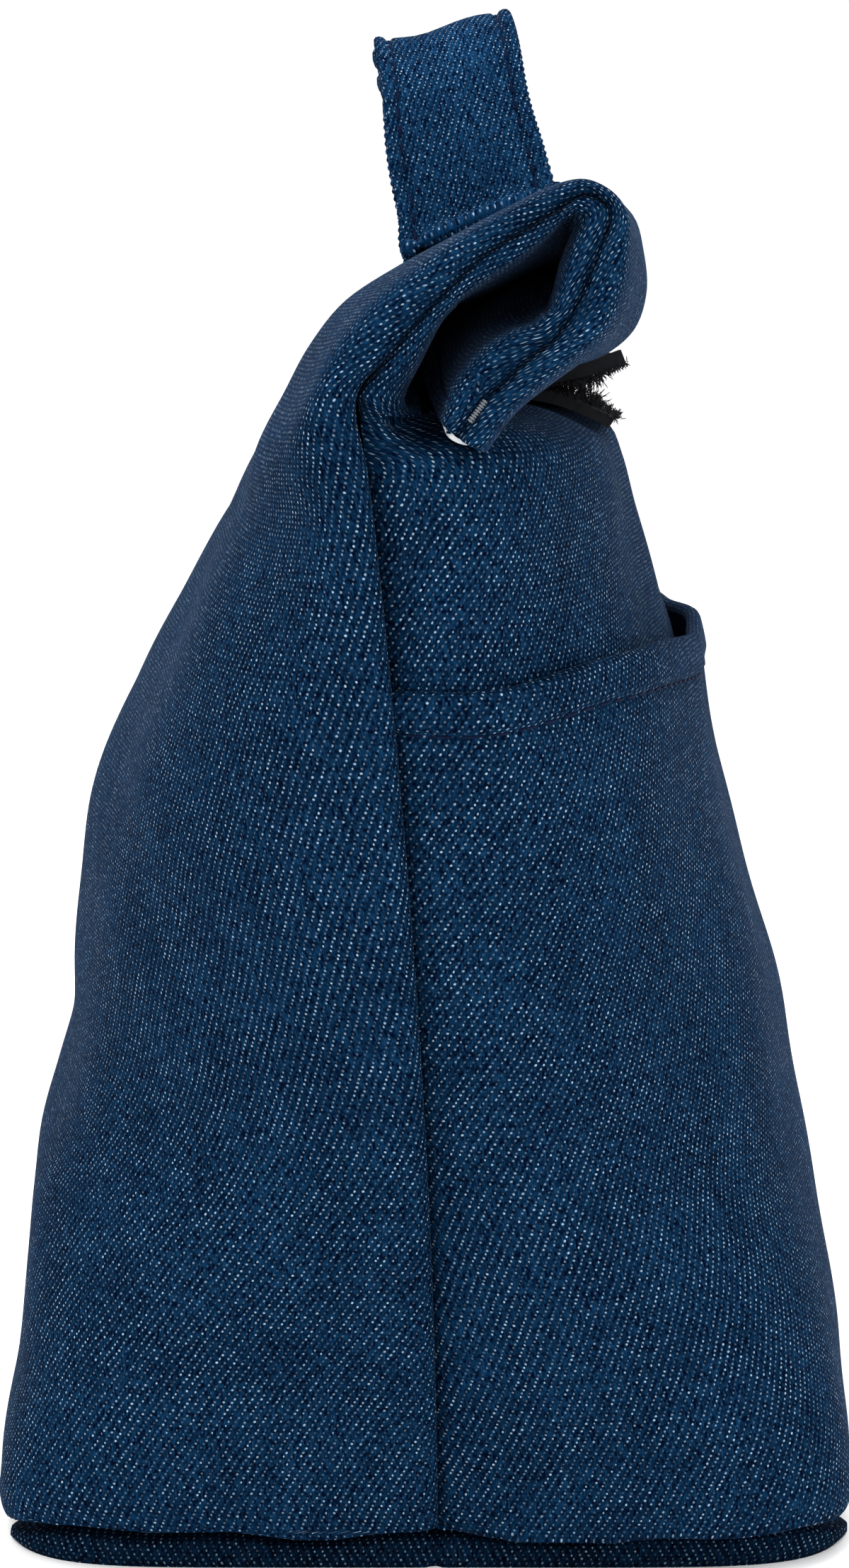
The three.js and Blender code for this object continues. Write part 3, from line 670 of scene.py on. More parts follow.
class BagCloth(bpy.types.PropertyGroup):
    """Cloth, thread and colours of the bag"""

    thickness: bpy.props.FloatProperty(
        name="Denim Thickness", description="Thickness of the denim in millimetres", default=0.9, min=0.3)
    end_pitch: bpy.props.FloatProperty(
        name="End Pitch", description="Distance between warp ends in millimetres", default=0.34, min=0.1)
    pick_pitch: bpy.props.FloatProperty(
        name="Pick Pitch", description="Distance between weft picks in millimetres", default=0.71, min=0.1)
    indigo_deep: bpy.props.FloatVectorProperty(
        name="Deep Indigo", description="Warp where it is darkest", subtype="COLOR",
        default=(0.0, 0.0017, 0.0088))
    indigo_worn: bpy.props.FloatVectorProperty(
        name="Worn Indigo", description="Warp where it is lightest", subtype="COLOR",
        default=(0.0032, 0.0235, 0.062))
    weft_pale: bpy.props.FloatVectorProperty(
        name="Pale Weft", description="Weft that shows between the warp", subtype="COLOR",
        default=(0.25, 0.34, 0.43))
    # The lining is white; its grey here is painted shade inside the mouth
    lining: bpy.props.FloatVectorProperty(
        name="Lining", description="Coated lining", subtype="COLOR", default=(0.52, 0.53, 0.55))
    thread: bpy.props.FloatVectorProperty(
        name="Thread", description="Seam thread", subtype="COLOR", default=(0.003, 0.006, 0.024))
    tack: bpy.props.FloatVectorProperty(
        name="Bar Tack", description="Bar tack thread", subtype="COLOR", default=(0.11, 0.12, 0.14))
    tape: bpy.props.FloatVectorProperty(
        name="Tape", description="Hook-and-loop tape", subtype="COLOR", default=(0.011, 0.0115, 0.0135))


class BagShape(bpy.types.PropertyGroup):
    """Sizes of the bag's sewn details, in millimetres"""

    pocket_height: bpy.props.FloatProperty(
        name="Pocket Height", description="Height of the pocket's rim in the middle", default=149.0)
    lip_gape: bpy.props.FloatProperty(
        name="Lip Gape", description="How far the pocket's rim stands away", default=2.7)
    pocket_hem: bpy.props.FloatProperty(
        name="Pocket Hem", description="Depth of the pocket's folded hem", default=5.8)
    mouth_hem: bpy.props.FloatProperty(
        name="Mouth Hem", description="Depth of the folded hem at the mouth", default=8.0)
    strap_width: bpy.props.FloatProperty(
        name="Strap Width", description="Width of the strap", default=26.0)
    strap_thick: bpy.props.FloatProperty(
        name="Strap Thickness", description="Thickness of the folded strap", default=2.6)


class BagStage(bpy.types.PropertyGroup):
    """Camera and light"""

    distance: bpy.props.FloatProperty(
        name="Camera Distance", description="From the middle of the bag", default=0.6, unit="LENGTH")
    height: bpy.props.FloatProperty(
        name="Camera Height", description="Above the floor", default=0.195, unit="LENGTH")
    pitch: bpy.props.FloatProperty(
        name="Camera Pitch", description="How far the camera looks down", default=math.radians(7.3),
        subtype="ANGLE")
    focal: bpy.props.FloatProperty(
        name="Focal Length", description="Of the camera, in millimetres", default=72.9)
    floor: bpy.props.FloatVectorProperty(
        name="Floor", description="Floor and backdrop", subtype="COLOR", default=(1.0, 1.0, 1.0))


def wrinkles(data, front):
    """Soft waves of slack cloth over the walls, in millimetres along the normal."""
    u, v = data["cloth"][..., 0], data["cloth"][..., 1]
    waves = 0.34 * np.sin(v / 11.0 + 0.9 * np.sin(u / 31.0) + (0.7 if front else 2.1))
    waves += 0.30 * np.sin(u / 17.0 + v / 23.0 + (1.9 if front else 0.4))
    waves += 0.22 * np.sin(u / 9.0 - v / 29.0 + 1.1)
    waves += 0.12 * np.sin(v / 5.3 + u / 13.0)
    calm = smooth(data["apart"], 3.0, 26.0) * smooth(data["mid"][:, 1], 9.0, 30.0)[:, None]
    return 1.5 * waves * calm * (1.0 - 0.7 * data["rolled"][:, None])


def lip_line(apart):
    """Height of the folded lip over the base strip, at distances from the side seam."""
    wave = 0.3 * np.sin(apart / 4.3) - 1.4 * swell(apart, 22.0, 12.0)
    return 8.7 + wave - 8.6 * smooth(apart, 60.0, 106.0)


def boxed_corner(data):
    """Set-in of the cloth behind the base strip, and drop of the lip above it, in millimetres."""
    apart, place = data["apart"], np.abs(data["grid"])
    above = data["grid"][..., 2] - lip_line(apart)
    side = 1.0 - smooth(apart, 80.0, 106.0)
    outer = np.maximum(place[..., 0] / BASE_HALF_WIDTH, place[..., 1] / BASE_HALF_DEPTH)
    set_in = 7.5 * (1.0 - smooth(above, -0.9, 0.5)) * smooth(outer, 0.5, 0.9)
    drop = 0.9 * swell(above, 0.9, 1.2) * (1.0 - smooth(apart, 62.0, 90.0))
    return (set_in - 0.7 * swell(above, 4.0, 3.6)) * side, drop


def base_strip(side):
    """Grid of the strip that shows under the lip at one end of the bag, and its cloth map."""
    turn = np.linspace(-1.0, 1.0, STRIP_COLUMNS)
    reach = np.abs(np.cos(turn)) ** STRIP_SQUARE + np.abs(np.sin(turn)) ** STRIP_SQUARE
    reach = reach ** (-1.0 / STRIP_SQUARE)
    x = np.cos(turn) * reach * STRIP_HALF_WIDTH
    y = np.sin(turn) * reach * STRIP_HALF_DEPTH + STRIP_SHIFT
    run = lengths_along(np.stack([x, y], 1))
    apart = np.abs(y - SEAM_FOOT) + 0.8 * (STRIP_HALF_WIDTH - x)
    top = np.maximum(lip_line(apart) - STRIP_TUCK, 0.2)
    share = np.linspace(0.0, 1.0, STRIP_ROWS)[:, None]
    lean = 0.7 * (1.0 - smooth(share, 0.0, 0.25)) + 4.4 * smooth(share, 0.68, 1.0)
    lean = lean + 0.9 * swell(y, SEAM_FOOT, 0.9)[None]
    lean = lean + 0.35 * np.sin(run / 9.0 + 1.0)[None] * share
    lean = lean + 9.0 * smooth(apart, 83.0, 96.0)[None]
    inward = 1.0 - lean / 90.0
    grid = np.stack([-side * x[None] * inward, y[None] * inward, top[None] * share + 0.05], 2)
    cloth = np.stack(np.broadcast_arrays(run[None] * side, grid[..., 2] + 0.5 * lean), 2)
    return grid, cloth


def dressed(panel, distances):
    """Panel surface with its slack and its boxed corners."""
    data = panel.surface(distances)
    normal = data["normal"]
    data["grid"] = data["grid"] + normal * wrinkles(data, not panel.back)[..., None]
    if not panel.back:
        under = smooth(distances, panel.crease - 52.0, panel.crease - 24.0) * (1.0 - data["rolled"])
        dip = 6.4 * swell(data["apart"], 13.0, 10.0) * under[:, None]
        data["grid"] = data["grid"] - np.sign(data["grid"]) * np.array([1.0, 0.0, 0.0]) * dip[..., None]
    if distances[0] < 60.0:
        before = np.linalg.norm(np.diff(data["grid"], axis=0), axis=2)
        level = data["grid"] * np.array([1.0 / BASE_HALF_WIDTH, 1.0 / BASE_HALF_DEPTH, 0.0])
        level = level * np.abs(level) ** 2
        level /= np.maximum(np.linalg.norm(level, axis=2), 1e-9)[..., None]
        set_in, drop = boxed_corner(data)
        data["grid"] = data["grid"] - level * set_in[..., None]
        data["grid"][..., 2] = np.maximum(data["grid"][..., 2] - drop, 0.0)
        longer = np.cumsum(np.linalg.norm(np.diff(data["grid"], axis=0), axis=2) - before, 0)
        steady = min(int(np.searchsorted(distances, 14.0)), len(longer) - 1)
        data["cloth"][1:, :, 1] += np.minimum(longer - longer[steady], 0.0)
    data["normal"] = outward(data["grid"], panel.sign)
    return data


def base_rows(flat_rows, edge_rows):
    """Distances of rows under the base and round its edge."""
    arc = BASE_EDGE * math.pi / 2
    flat = np.linspace(-arc - BASE_REACH + BASE_MIDDLE, -arc, flat_rows, endpoint=False)
    return np.concatenate([flat, np.linspace(-arc, 0.0, edge_rows, endpoint=False)])


def lower_distances(panel):
    """Rows from the middle of the base to the middle of the neck."""
    low = np.arange(0.0, WALL_FROM, LOW_SPACING)
    split = split_of(panel)
    wall = np.linspace(WALL_FROM, split, int((split - WALL_FROM) / WALL_SPACING))
    return np.concatenate([base_rows(14, 11), low, wall])


def split_of(panel):
    """Distance of the line in the middle of the neck where the lower cloth ends and the upper begins."""
    return station_distance(panel, 3)


def station_distance(panel, index):
    """Distance along a panel to a station of the roll."""
    return length_of(panel.stations[: len(panel.stations) - len(ROLL) + index + 1])


def crease_pull(panel, distances):
    """How much rows follow the neck, which folds on the crease."""
    return smooth(distances, panel.crease - 4.0, panel.crease + 9.0)


def flap_pull(panel, distances):
    """How much rows follow the flap, which folds under the neck."""
    return smooth(distances, station_distance(panel, 6), station_distance(panel, 11))


def folded_mouth(data, hem, radius):
    """Adds the hem that is folded in at the mouth to the rows of an upper panel."""
    grid, normal, cloth = data["grid"], data["normal"], data["cloth"]
    along = grid[-1] - grid[-2]
    along /= np.linalg.norm(along, axis=1)[:, None]
    extra, extra_normal, extra_cloth = [], [], []
    for angle in np.linspace(0.0, math.pi, 7)[1:]:
        step = along * radius * math.sin(angle) - normal[-1] * radius * (1.0 - math.cos(angle))
        extra.append(grid[-1] + step)
        extra_normal.append(normal[-1] * math.cos(angle) + along * math.sin(angle))
        extra_cloth.append(cloth[-1] + np.array([0.0, radius * angle]))
    for run in np.linspace(0.0, hem, 7)[1:]:
        extra.append(extra[5] - along * run)
        extra_normal.append(-normal[-1])
        extra_cloth.append(cloth[-1] + np.array([0.0, radius * math.pi + run]))
    data["grid"] = np.concatenate([grid, np.array(extra)])
    data["normal"] = np.concatenate([normal, np.array(extra_normal)])
    data["cloth"] = np.concatenate([cloth, np.array(extra_cloth)])
    return data


def row_weights(piece, weights_by_row, columns):
    """Vertex weights for a sheet and its inner face, given one weight for each row."""
    count = len(piece.data.vertices)
    plain = np.repeat(weights_by_row, columns)
    values = np.concatenate([plain, plain])
    if len(values) != count:
        raise RuntimeError(f"{piece.name} has {count} vertices and not {len(values)}")
    return values


def with_allowance(data):
    """Turns the side edges of a panel in along its seams, as they are sewn."""
    cloth = data["cloth"]
    left, right = (np.array([np.sign(cloth[0, end, 0]), 0.0]) for end in (0, -1))
    still = np.zeros(3)
    inward = np.array([1.0, 0.0, 0.0])
    for name, first, last in (("grid", inward, -inward), ("cloth", left, right), ("normal", still, still)):
        whole = data[name]
        before = [whole[:, :1] + first * turn for turn in ALLOWANCE]
        after = [whole[:, -1:] + last * turn for turn in ALLOWANCE[::-1]]
        data[name] = np.concatenate([*before, whole, *after], 1)
    return data


def patch(panel, distances, xs, lift):
    """Grid over part of a panel, at given places across it, lifted off its cloth."""
    data = panel.surface(distances, plain=True)
    grid = np.stack([resample(xs, row[:, 0], row) for row in data["grid"]])
    normal = np.stack([resample(xs, row[:, 0], up) for row, up in zip(data["grid"], data["normal"])])
    return grid + normal * lift, normal


def new_bead():
    """Small round bead that is stretched into each stitch or fibre, and its own vertices."""
    cut = bmesh.new()
    bmesh.ops.create_uvsphere(cut, u_segments=6, v_segments=5, radius=1.0)
    for face in cut.faces:
        face.smooth = True
    bead = bpy.data.meshes.new("bead")
    cut.to_mesh(bead)
    cut.free()
    bead.attributes.new("pull", "FLOAT", "POINT")
    return bead, np.array([vertex.co for vertex in bead.vertices])


def stitch(cut, bead, start, end, up, radius, pull=0.0):
    """One stitch of thread that lies on a surface, from start to end in millimetres."""
    mesh, own = bead
    along = end - start
    length = np.linalg.norm(along)
    x = along / length
    z = up - x * np.dot(up, x)
    z /= np.linalg.norm(z)
    y = np.cross(z, x)
    axes = np.stack([x * length / 2, y * radius, z * radius * 0.8])
    spots = (own @ axes + (start + end) / 2) * MM
    mesh.vertices.foreach_set("co", spots.astype(np.float32).ravel())
    mesh.attributes["pull"].data.foreach_set("value", np.full(len(own), pull, np.float32))
    cut.from_mesh(mesh)


def stitch_places(points, ups, pitch, length):
    """Starts, ends and normals of stitches along a line of points in millimetres."""
    reached = lengths_along(points)
    first = np.arange(pitch / 2, reached[-1] - length, pitch)
    up = resample(first + length / 2, reached, ups)
    up /= np.linalg.norm(up, axis=1)[:, None]
    return resample(first, reached, points), resample(first + length, reached, points), up


def thread_row(name, lines, size, material):
    """Rows of stitches as one piece; each line has its points, normals and pulls between two bodies."""
    pitch, length, radius = size
    cut = bmesh.new()
    bead = new_bead()
    for points, ups, pulls in lines:
        for start, end, up in zip(*stitch_places(points, ups, pitch, length)):
            near = np.argmin(np.sum((points - start) ** 2, axis=1))
            stitch(cut, bead, start, end, up, radius, 0.0 if pulls is None else pulls[near])
    return beaded(name, cut, bead, material)


def beaded(name, cut, bead, material):
    """Object from a bmesh of stitches or fibres; the bead that they came from is removed."""
    mesh = bpy.data.meshes.new(name)
    bmesh.ops.recalc_face_normals(cut, faces=cut.faces)
    cut.to_mesh(mesh)
    cut.free()
    bpy.data.meshes.remove(bead[0])
    return new_object(name, mesh, material)


class BAG_OT_denim(bpy.types.Operator):
    """Sew the back and front denim, from the base round to the mouth"""

    bl_idname = "bag.denim"
    bl_label = "Denim Panels"

    def execute(self, context):
        hem = context.scene.bag_shape.mouth_hem
        thick = context.scene.bag_cloth.thickness
        denim = material_of("indigo_twill")
        for panel, side in SIDES:
            far = lower_distances(panel)
            data = with_allowance(dressed(panel, far))
            lower = lay(f"{side}_cloth", data, thick, denim, crease_pull(panel, far), CREASE_BEND)
            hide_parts(f"{side}_panel", f"neck_{side}")
            declare(data["grid"])
            up = np.linspace(split_of(panel), panel.length, ROLL_ROWS)
            data = folded_mouth(with_allowance(dressed(panel, up)), hem, MOUTH_FOLD_RADIUS)
            weights = np.append(flap_pull(panel, up), np.ones(len(data["grid"]) - len(up)))
            upper = lay(f"{side}_roll_cloth", data, thick, denim, weights, FLAP_BEND)
            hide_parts(f"flap_{side}", f"mouth_hem_{side}")
            declare(data["grid"])
        for name, side in (("base_strip_left", 1.0), ("base_strip_right", -1.0)):
            grid, chart = base_strip(side)
            away = grid * np.array([1.0, 1.0, 0.0])
            # The strip's denim is darkened as painted shade under the lip
            strip = sheet(name, grid, chart, thick, material_of("shaded_base_twill"), away)
            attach(strip, "bag")
            declare(grid)
        return {"FINISHED"}


class BAG_OT_lining(bpy.types.Operator):
    """Line the bag and its roll"""

    bl_idname = "bag.lining"
    bl_label = "Lining"

    def execute(self, context):
        # Lining material, greyed as painted shade
        lining = material_of("shaded_coated_lining")
        for panel, side in SIDES:
            far = np.concatenate([base_rows(10, 6), np.linspace(0.0, split_of(panel), 90)])
            data = inner_surface(panel, far)
            pull = crease_pull(panel, far)
            lower = lay(f"{side}_inner", data, LINING_THICKNESS, lining, pull, CREASE_BEND)
            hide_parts(f"{side}_lining", f"{side}_insulation", f"neck_{side}_lining")
            declare(data["grid"])
            up = np.linspace(split_of(panel), panel.length - LINING_SHORTER, 50)
            data = inner_surface(panel, up)
            pull = flap_pull(panel, up)
            upper = lay(f"{side}_roll_inner", data, ROLL_LINING_THICKNESS, lining, pull, FLAP_BEND)
            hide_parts(f"flap_{side}_lining")
            declare(data["grid"])
        profile = through(MOUTH_LINING, np.linspace(0.0, length_of(MOUTH_LINING), 12))
        inward = np.linspace(0.0, 1.0, 14)
        for name, side in (("mouth_lining_left", -1.0), ("mouth_lining_right", 1.0)):
            grid = np.empty((len(profile), len(inward), 3))
            grid[..., 0] = side * (MOUTH_LINING_X - MOUTH_LINING_WIDTH * inward)[None]
            grid[..., 1] = profile[:, :1] + 0.4 * np.sin(inward * 5.0)[None]
            grid[..., 2] = profile[:, 1:] + 2.2 * inward[None] ** 2
            edge = sheet(name, grid, grid[..., :2], LINING_THICKNESS, lining, facing_down(grid))
            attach(edge, "flap")
            declare(grid)
        return {"FINISHED"}


def facing_down(grid):
    """Normals for a grid that faces the floor."""
    return np.broadcast_to(np.array([0.0, 0.0, -1.0]), grid.shape)


def inner_surface(panel, distances):
    """Panel surface moved in by the insulation, which thins out towards the crease."""
    data = panel.surface(distances, narrower=LINING_NARROWER, plain=True, columns=LINING_COLUMNS)
    pad = LINING_PAD - PAD_LOST_AT_CREASE * smooth(distances, panel.crease - 45.0, panel.crease - 2.0)
    data["grid"] = data["grid"] - data["normal"] * pad[:, None, None]
    data["grid"][..., 2] = np.maximum(data["grid"][..., 2], LINING_FLOOR * (distances < 0)[:, None])
    return data


class BAG_OT_pocket(bpy.types.Operator):
    """Sew the front pocket with its folded rim"""

    bl_idname = "bag.pocket"
    bl_label = "Front Pocket"

    def execute(self, context):
        shape = context.scene.bag_shape
        rim = rim_distance(shape.pocket_height)
        far = np.concatenate([np.arange(POCKET_FOOT, WALL_FROM, 0.4), np.linspace(WALL_FROM, rim, 96)])
        tall = np.append(far, rim + RIM_MARGIN)
        data = cut_to_rim(dressed(FRONT, tall), tall, rim)
        stand = smooth(data["grid"][..., 2], 125.0, 146.0) * smooth(data["apart"], 3.0, 22.0)
        sewn_in = 0.85 + 0.15 * smooth(data["apart"], 0.0, 8.0)
        lift = POCKET_LIFT * sewn_in + POCKET_STAND * stand + gape(data, shape)
        data["grid"] = data["grid"] + data["normal"] * lift[..., None]
        data["normal"] = outward(data["grid"], FRONT.sign)
        over_hem = far - rim + shape.pocket_hem
        ridge = POCKET_RIDGE * smooth(far, rim - shape.pocket_hem - 0.6, rim - shape.pocket_hem + 1.6)
        ridge -= POCKET_GROOVE * swell(over_hem, 0.0, 0.8)
        data["grid"] = data["grid"] + data["normal"] * (ridge[:, None] * sewn_in)[..., None]
        data = folded_mouth(with_allowance(data), shape.pocket_hem, POCKET_FOLD_RADIUS)
        hem_row = int(np.argmin(np.abs(over_hem)))
        hem, up = data["grid"][hem_row], data["normal"][hem_row]
        denim = material_of("indigo_twill")
        pocket = sheet("pocket", data["grid"], data["cloth"], POCKET_THICKNESS, denim, data["normal"])
        hold(pocket, *LIP_BEND, lip_pull(points_of(pocket)))
        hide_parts("pocket_panel", "pocket_lip", "pocket_hem")
        line = (hem + up * 0.2, up, lip_pull(hem))
        rows = thread_row("pocket_thread", [line], POCKET_STITCH, material_of("seam_thread"))
        pulled(rows, "bag", "pocket_front")
        declare(data["grid"])
        return {"FINISHED"}


def lip_pull(place):
    """How much points of the pocket follow its front edge, which flexes outwards."""
    return smooth(place[:, 2], 74.0, 138.0) * (1.0 - smooth(np.abs(place[:, 0]), 40.0, 112.0))


def cut_to_rim(data, tall, rim):
    """Resamples the columns of a front surface so that they end on the pocket's rim, lower at its sides."""
    far = tall[:-1]
    apart = data["apart"][-1]
    arch = np.sin(np.pi * np.clip(apart / 120.0, 0.0, 1.0)) ** 2
    ends = rim - 4.0 * (1.0 - smooth(apart, 5.0, 42.0)) + 2.0 * arch
    made = {"mid": data["mid"][:-1]}
    for name in ("grid", "normal", "cloth", "apart"):
        whole = data[name]
        made[name] = np.empty((len(far),) + whole.shape[1:])
        for column in range(whole.shape[1]):
            made[name][:, column] = resample(far * ends[column] / rim, tall, whole[:, column])
    return made


def rim_distance(height):
    """Distance up the front panel to a height."""
    far = np.linspace(0.0, FRONT.crease, 800)
    z = FRONT.rows(far)["mid"][:, 1]
    return float(far[np.argmax(z > height)])


def gape(data, shape):
    """How far the pocket stands off the front, in millimetres."""
    rise = smooth(data["mid"][:, 1], 84.0, shape.pocket_height)[:, None]
    spread = 1.0 - smooth(np.abs(data["grid"][..., 0]), 52.0, 130.0)
    return shape.lip_gape * rise * spread


# Strap in millimetres: its foot and rise as (y, z), its bends, and where it is split between bodies
STRAP_FOOT = np.array([-9.4, 218.6])
STRAP_RISE = np.array([0.1857, 0.9826])
STRAP_X = 65.3
TAB_END_X = 91.0
STRAP_FOLD = 3.2
STRAP_CORNER = 12.0
TAB_LIFT = 1.7
GRIP_HEIGHT = 34.9
LEFT_SPLIT = 12.0
RIGHT_PIVOT = 18.8
STRAP_DRAWN_WIDTH = 26.0
SCALLOP = 1.15
STITCH_CHANNEL = 10.3
STITCH_LIFT = 0.08
# Thinning of the strap's ends, and of the tongue that stays under the grip when the handle sways
STRAP_END = (0.1, 0.6, 0.8, 0.9, 0.96, 0.99)
TONGUE_ROWS = 8
# Places across half of the strap's section, its rounded edge, and the outer face of the neck as (y, z)
STRAP_ACROSS = np.array([0.0, 2.5, 5.0, 7.0, 8.6, 9.4, 9.9, 10.3, 10.7, 11.2, 11.9, 12.5])
STRAP_EDGE = np.array([12.92, 13.08, 12.92])
NECK_LINE = np.array([row[3] for row in ROLL[:9]])


def strap_line():
    """Left half of the strap's middle line: its place across the bag, height over the neck and length."""
    fold_x = -STRAP_X - STRAP_FOLD
    corner_x = -STRAP_X + STRAP_CORNER
    quarter = np.linspace(0.0, math.pi / 2, 12)
    x = np.concatenate([
        [-TAB_END_X], fold_x + STRAP_FOLD * np.sin(quarter),
        corner_x - STRAP_CORNER * np.cos(quarter), [0.0]])
    height = np.concatenate([
        [TAB_LIFT], TAB_LIFT + STRAP_FOLD * (1.0 - np.cos(quarter)),
        GRIP_HEIGHT - STRAP_CORNER + STRAP_CORNER * np.sin(quarter), [GRIP_HEIGHT]])
    reached = np.concatenate([[0.0], np.cumsum(np.hypot(np.diff(x), np.diff(height)))])
    even = np.linspace(0.0, reached[-1], int(reached[-1] / (SCALLOP / 4)))
    return np.interp(even, reached, x), np.interp(even, reached, height), even


def neck_curve(offset):
    """Point and normal of the neck's outer face, at a distance across the strap from its middle."""
    reached = lengths_along(NECK_LINE)
    middle = np.interp(-STRAP_FOOT[0], -NECK_LINE[:, 0], reached)
    place = through(NECK_LINE, middle + offset)
    ahead = through(NECK_LINE, middle + offset + 0.5) - through(NECK_LINE, middle + offset - 0.5)
    ahead /= np.linalg.norm(ahead, axis=1)[:, None]
    return place, np.stack([ahead[:, 1], -ahead[:, 0]], 1)


def strap_ring(thick):
    """Section of the folded strap with its sewn channels: across, through and cloth width."""
    face = np.concatenate([-STRAP_ACROSS[:0:-1], STRAP_ACROSS])
    away = np.abs(face)
    half = thick / 2 - 0.7 * swell(away, STITCH_CHANNEL, 0.6)
    half += 0.22 * swell(away, 11.8, 0.8) + 0.18 * (1.0 - smooth(away, 6.0, 9.6))
    side = np.array([0.75, 0.0, -0.75]) * thick / 2
    across = np.concatenate([face, STRAP_EDGE, face[::-1], -STRAP_EDGE])
    through_it = np.concatenate([half, side, -half[::-1], -side])
    run = np.concatenate([[0.0], np.cumsum(np.hypot(np.diff(across), np.diff(through_it)))])
    return across, through_it, np.append(run, run[-1] + 0.6)


def strap_rings(x, height, length, shape, slimmer):
    """Rings of points along the strap in millimetres."""
    across, through_it, _ = strap_ring(shape.strap_thick)
    step = np.stack([np.gradient(x), np.gradient(height)], 1)
    step /= np.linalg.norm(step, axis=1)[:, None]
    edge = smooth(np.abs(across), 10.8, 12.4)
    rings = np.empty((len(x), len(across), 3))
    for row in range(len(x)):
        wide = 1.02 - 0.13 * float(smooth(height[row], 6.0, 32.0))
        wide = wide * shape.strap_width / STRAP_DRAWN_WIDTH
        waver = 0.3 * math.sin(length[row] / 8.0) + 0.2 * math.sin(length[row] / 3.7)
        bite = 0.15 * math.cos(2.0 * math.pi * length[row] / SCALLOP)
        offset = (across + np.sign(across) * bite * edge) * wide + waver
        deep = through_it * slimmer[row] * (1.0 + 0.12 * bite * edge)
        high = height[row] + step[row, 0] * deep
        place, normal = neck_curve(offset)
        on_neck = place + normal * high[:, None]
        slope = np.radians(23.0 - 12.0 * smooth(high, 4.0, 33.0))
        upright = STRAP_FOOT + STRAP_RISE * high[:, None]
        upright = upright + np.stack([-np.cos(slope), np.sin(slope)], 1) * offset[:, None]
        upright[:, 1] -= 1.5 * swell(offset, -4.0, 6.0) * smooth(high, 20.0, 33.0)
        share = smooth(high, 1.8, 8.0)[:, None]
        rings[row, :, 0] = x[row] - step[row, 1] * deep
        rings[row, :, 1:] = on_neck + (upright - on_neck) * share
    return rings


def tube(name, rings, cloth, pull, material):
    """Closed strap through rings of points in millimetres, with a pull between two bodies for each ring."""
    count, around = rings.shape[:2]
    cut = bmesh.new()
    bmesh.ops.create_grid(cut, x_segments=around, y_segments=count - 1, size=0.5)
    cut.verts.ensure_lookup_table()
    share = cut.verts.layers.float.new("pull")
    chart = cut.loops.layers.uv.new("cloth")
    spots = {}
    for vertex in cut.verts:
        row = round((vertex.co.y + 0.5) * (count - 1))
        column = round((vertex.co.x + 0.5) * around)
        spots[vertex.index] = (row, column)
    for face in cut.faces:
        for loop in face.loops:
            loop[chart].uv = cloth[spots[loop.vert.index]]
    for vertex in cut.verts:
        row, column = spots[vertex.index]
        vertex.co = rings[row, column % around] * MM
        vertex[share] = pull[row]
    bmesh.ops.remove_doubles(cut, verts=cut.verts, dist=1e-7)
    bmesh.ops.holes_fill(cut, edges=[edge for edge in cut.edges if edge.is_boundary], sides=0)
    bmesh.ops.recalc_face_normals(cut, faces=cut.faces)
    mesh = bpy.data.meshes.new(name)
    cut.to_mesh(mesh)
    cut.free()
    piece = new_object(name, mesh, material)
    finish_mesh(mesh)
    return piece


def pulled(piece, a, b):
    """Takes the pull that a piece's vertices carry off it and bakes its transform; the piece isn't bent
    between the two bodies.
    """
    values = np.zeros(len(piece.data.vertices), np.float32)
    piece.data.attributes["pull"].data.foreach_get("value", values)
    piece.data.attributes.remove(piece.data.attributes["pull"])
    hold(piece, a, b, (0, 0, 0.2), (0, 0, 0.24), values)


class BAG_OT_strap(bpy.types.Operator):
    """Sew the folded strap with its two ends, legs and grip"""

    bl_idname = "bag.strap"
    bl_label = "Strap"

    def execute(self, context):
        shape = context.scene.bag_shape
        denim, thread = material_of("strap_twill"), material_of("seam_thread")
        x, height, length = strap_line()
        whole_x = np.concatenate([x, -x[-2::-1]])
        whole_h = np.concatenate([height, height[-2::-1]])
        whole_s = np.concatenate([length, 2.0 * length[-1] - length[-2::-1]])
        split = int(np.argmax(height > LEFT_SPLIT))
        far_split = len(whole_x) - 1 - int(np.argmax(height > RIGHT_PIVOT))
        tongue = far_split + 1 - TONGUE_ROWS
        on_left = smooth(whole_h, 0.8, 7.0)
        on_grip = np.where(whole_x < 0.0, smooth(whole_h, 13.0, 25.0), 1.0)
        rows = (
            ("strap_near", 0, split + 1, on_left, "neck", "strap_left",
             ("handle_end_left", "handle_leg_left")),
            ("strap_grip_cloth", split, far_split + 1, on_grip, "strap_left", "strap_grip", ("handle_grip",)),
            ("strap_far", tongue, len(whole_x), on_left, "neck", "strap_right",
             ("handle_end_right", "handle_leg_right")),
        )
        width_of = strap_ring(shape.strap_thick)[2]
        for name, first, last, pull, a, b, nodes in rows:
            part = slice(first, last)
            slimmer = np.ones(last - first)
            if name == "strap_near":
                slimmer[: len(STRAP_END)] = STRAP_END
            if name == "strap_far":
                slimmer[:TONGUE_ROWS] = np.linspace(0.3, 0.9, TONGUE_ROWS)
                slimmer[-len(STRAP_END):] = STRAP_END[::-1]
            rings = strap_rings(whole_x[part], whole_h[part], whole_s[part], shape, slimmer)
            chart = np.stack(np.broadcast_arrays(width_of[None], whole_s[part][:, None]), 2)
            piece = tube(name, rings, chart, pull[part], denim)
            pulled(piece, a, b)
            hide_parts(*nodes)
            lines = strap_seams(rings, pull[part], whole_h[part])
            rows_of = thread_row(f"{name}_thread", lines, STRAP_STITCH, thread)
            pulled(rows_of, a, b)
            declare(rings[:, : 2 * len(STRAP_ACROSS) + 1])
        return {"FINISHED"}


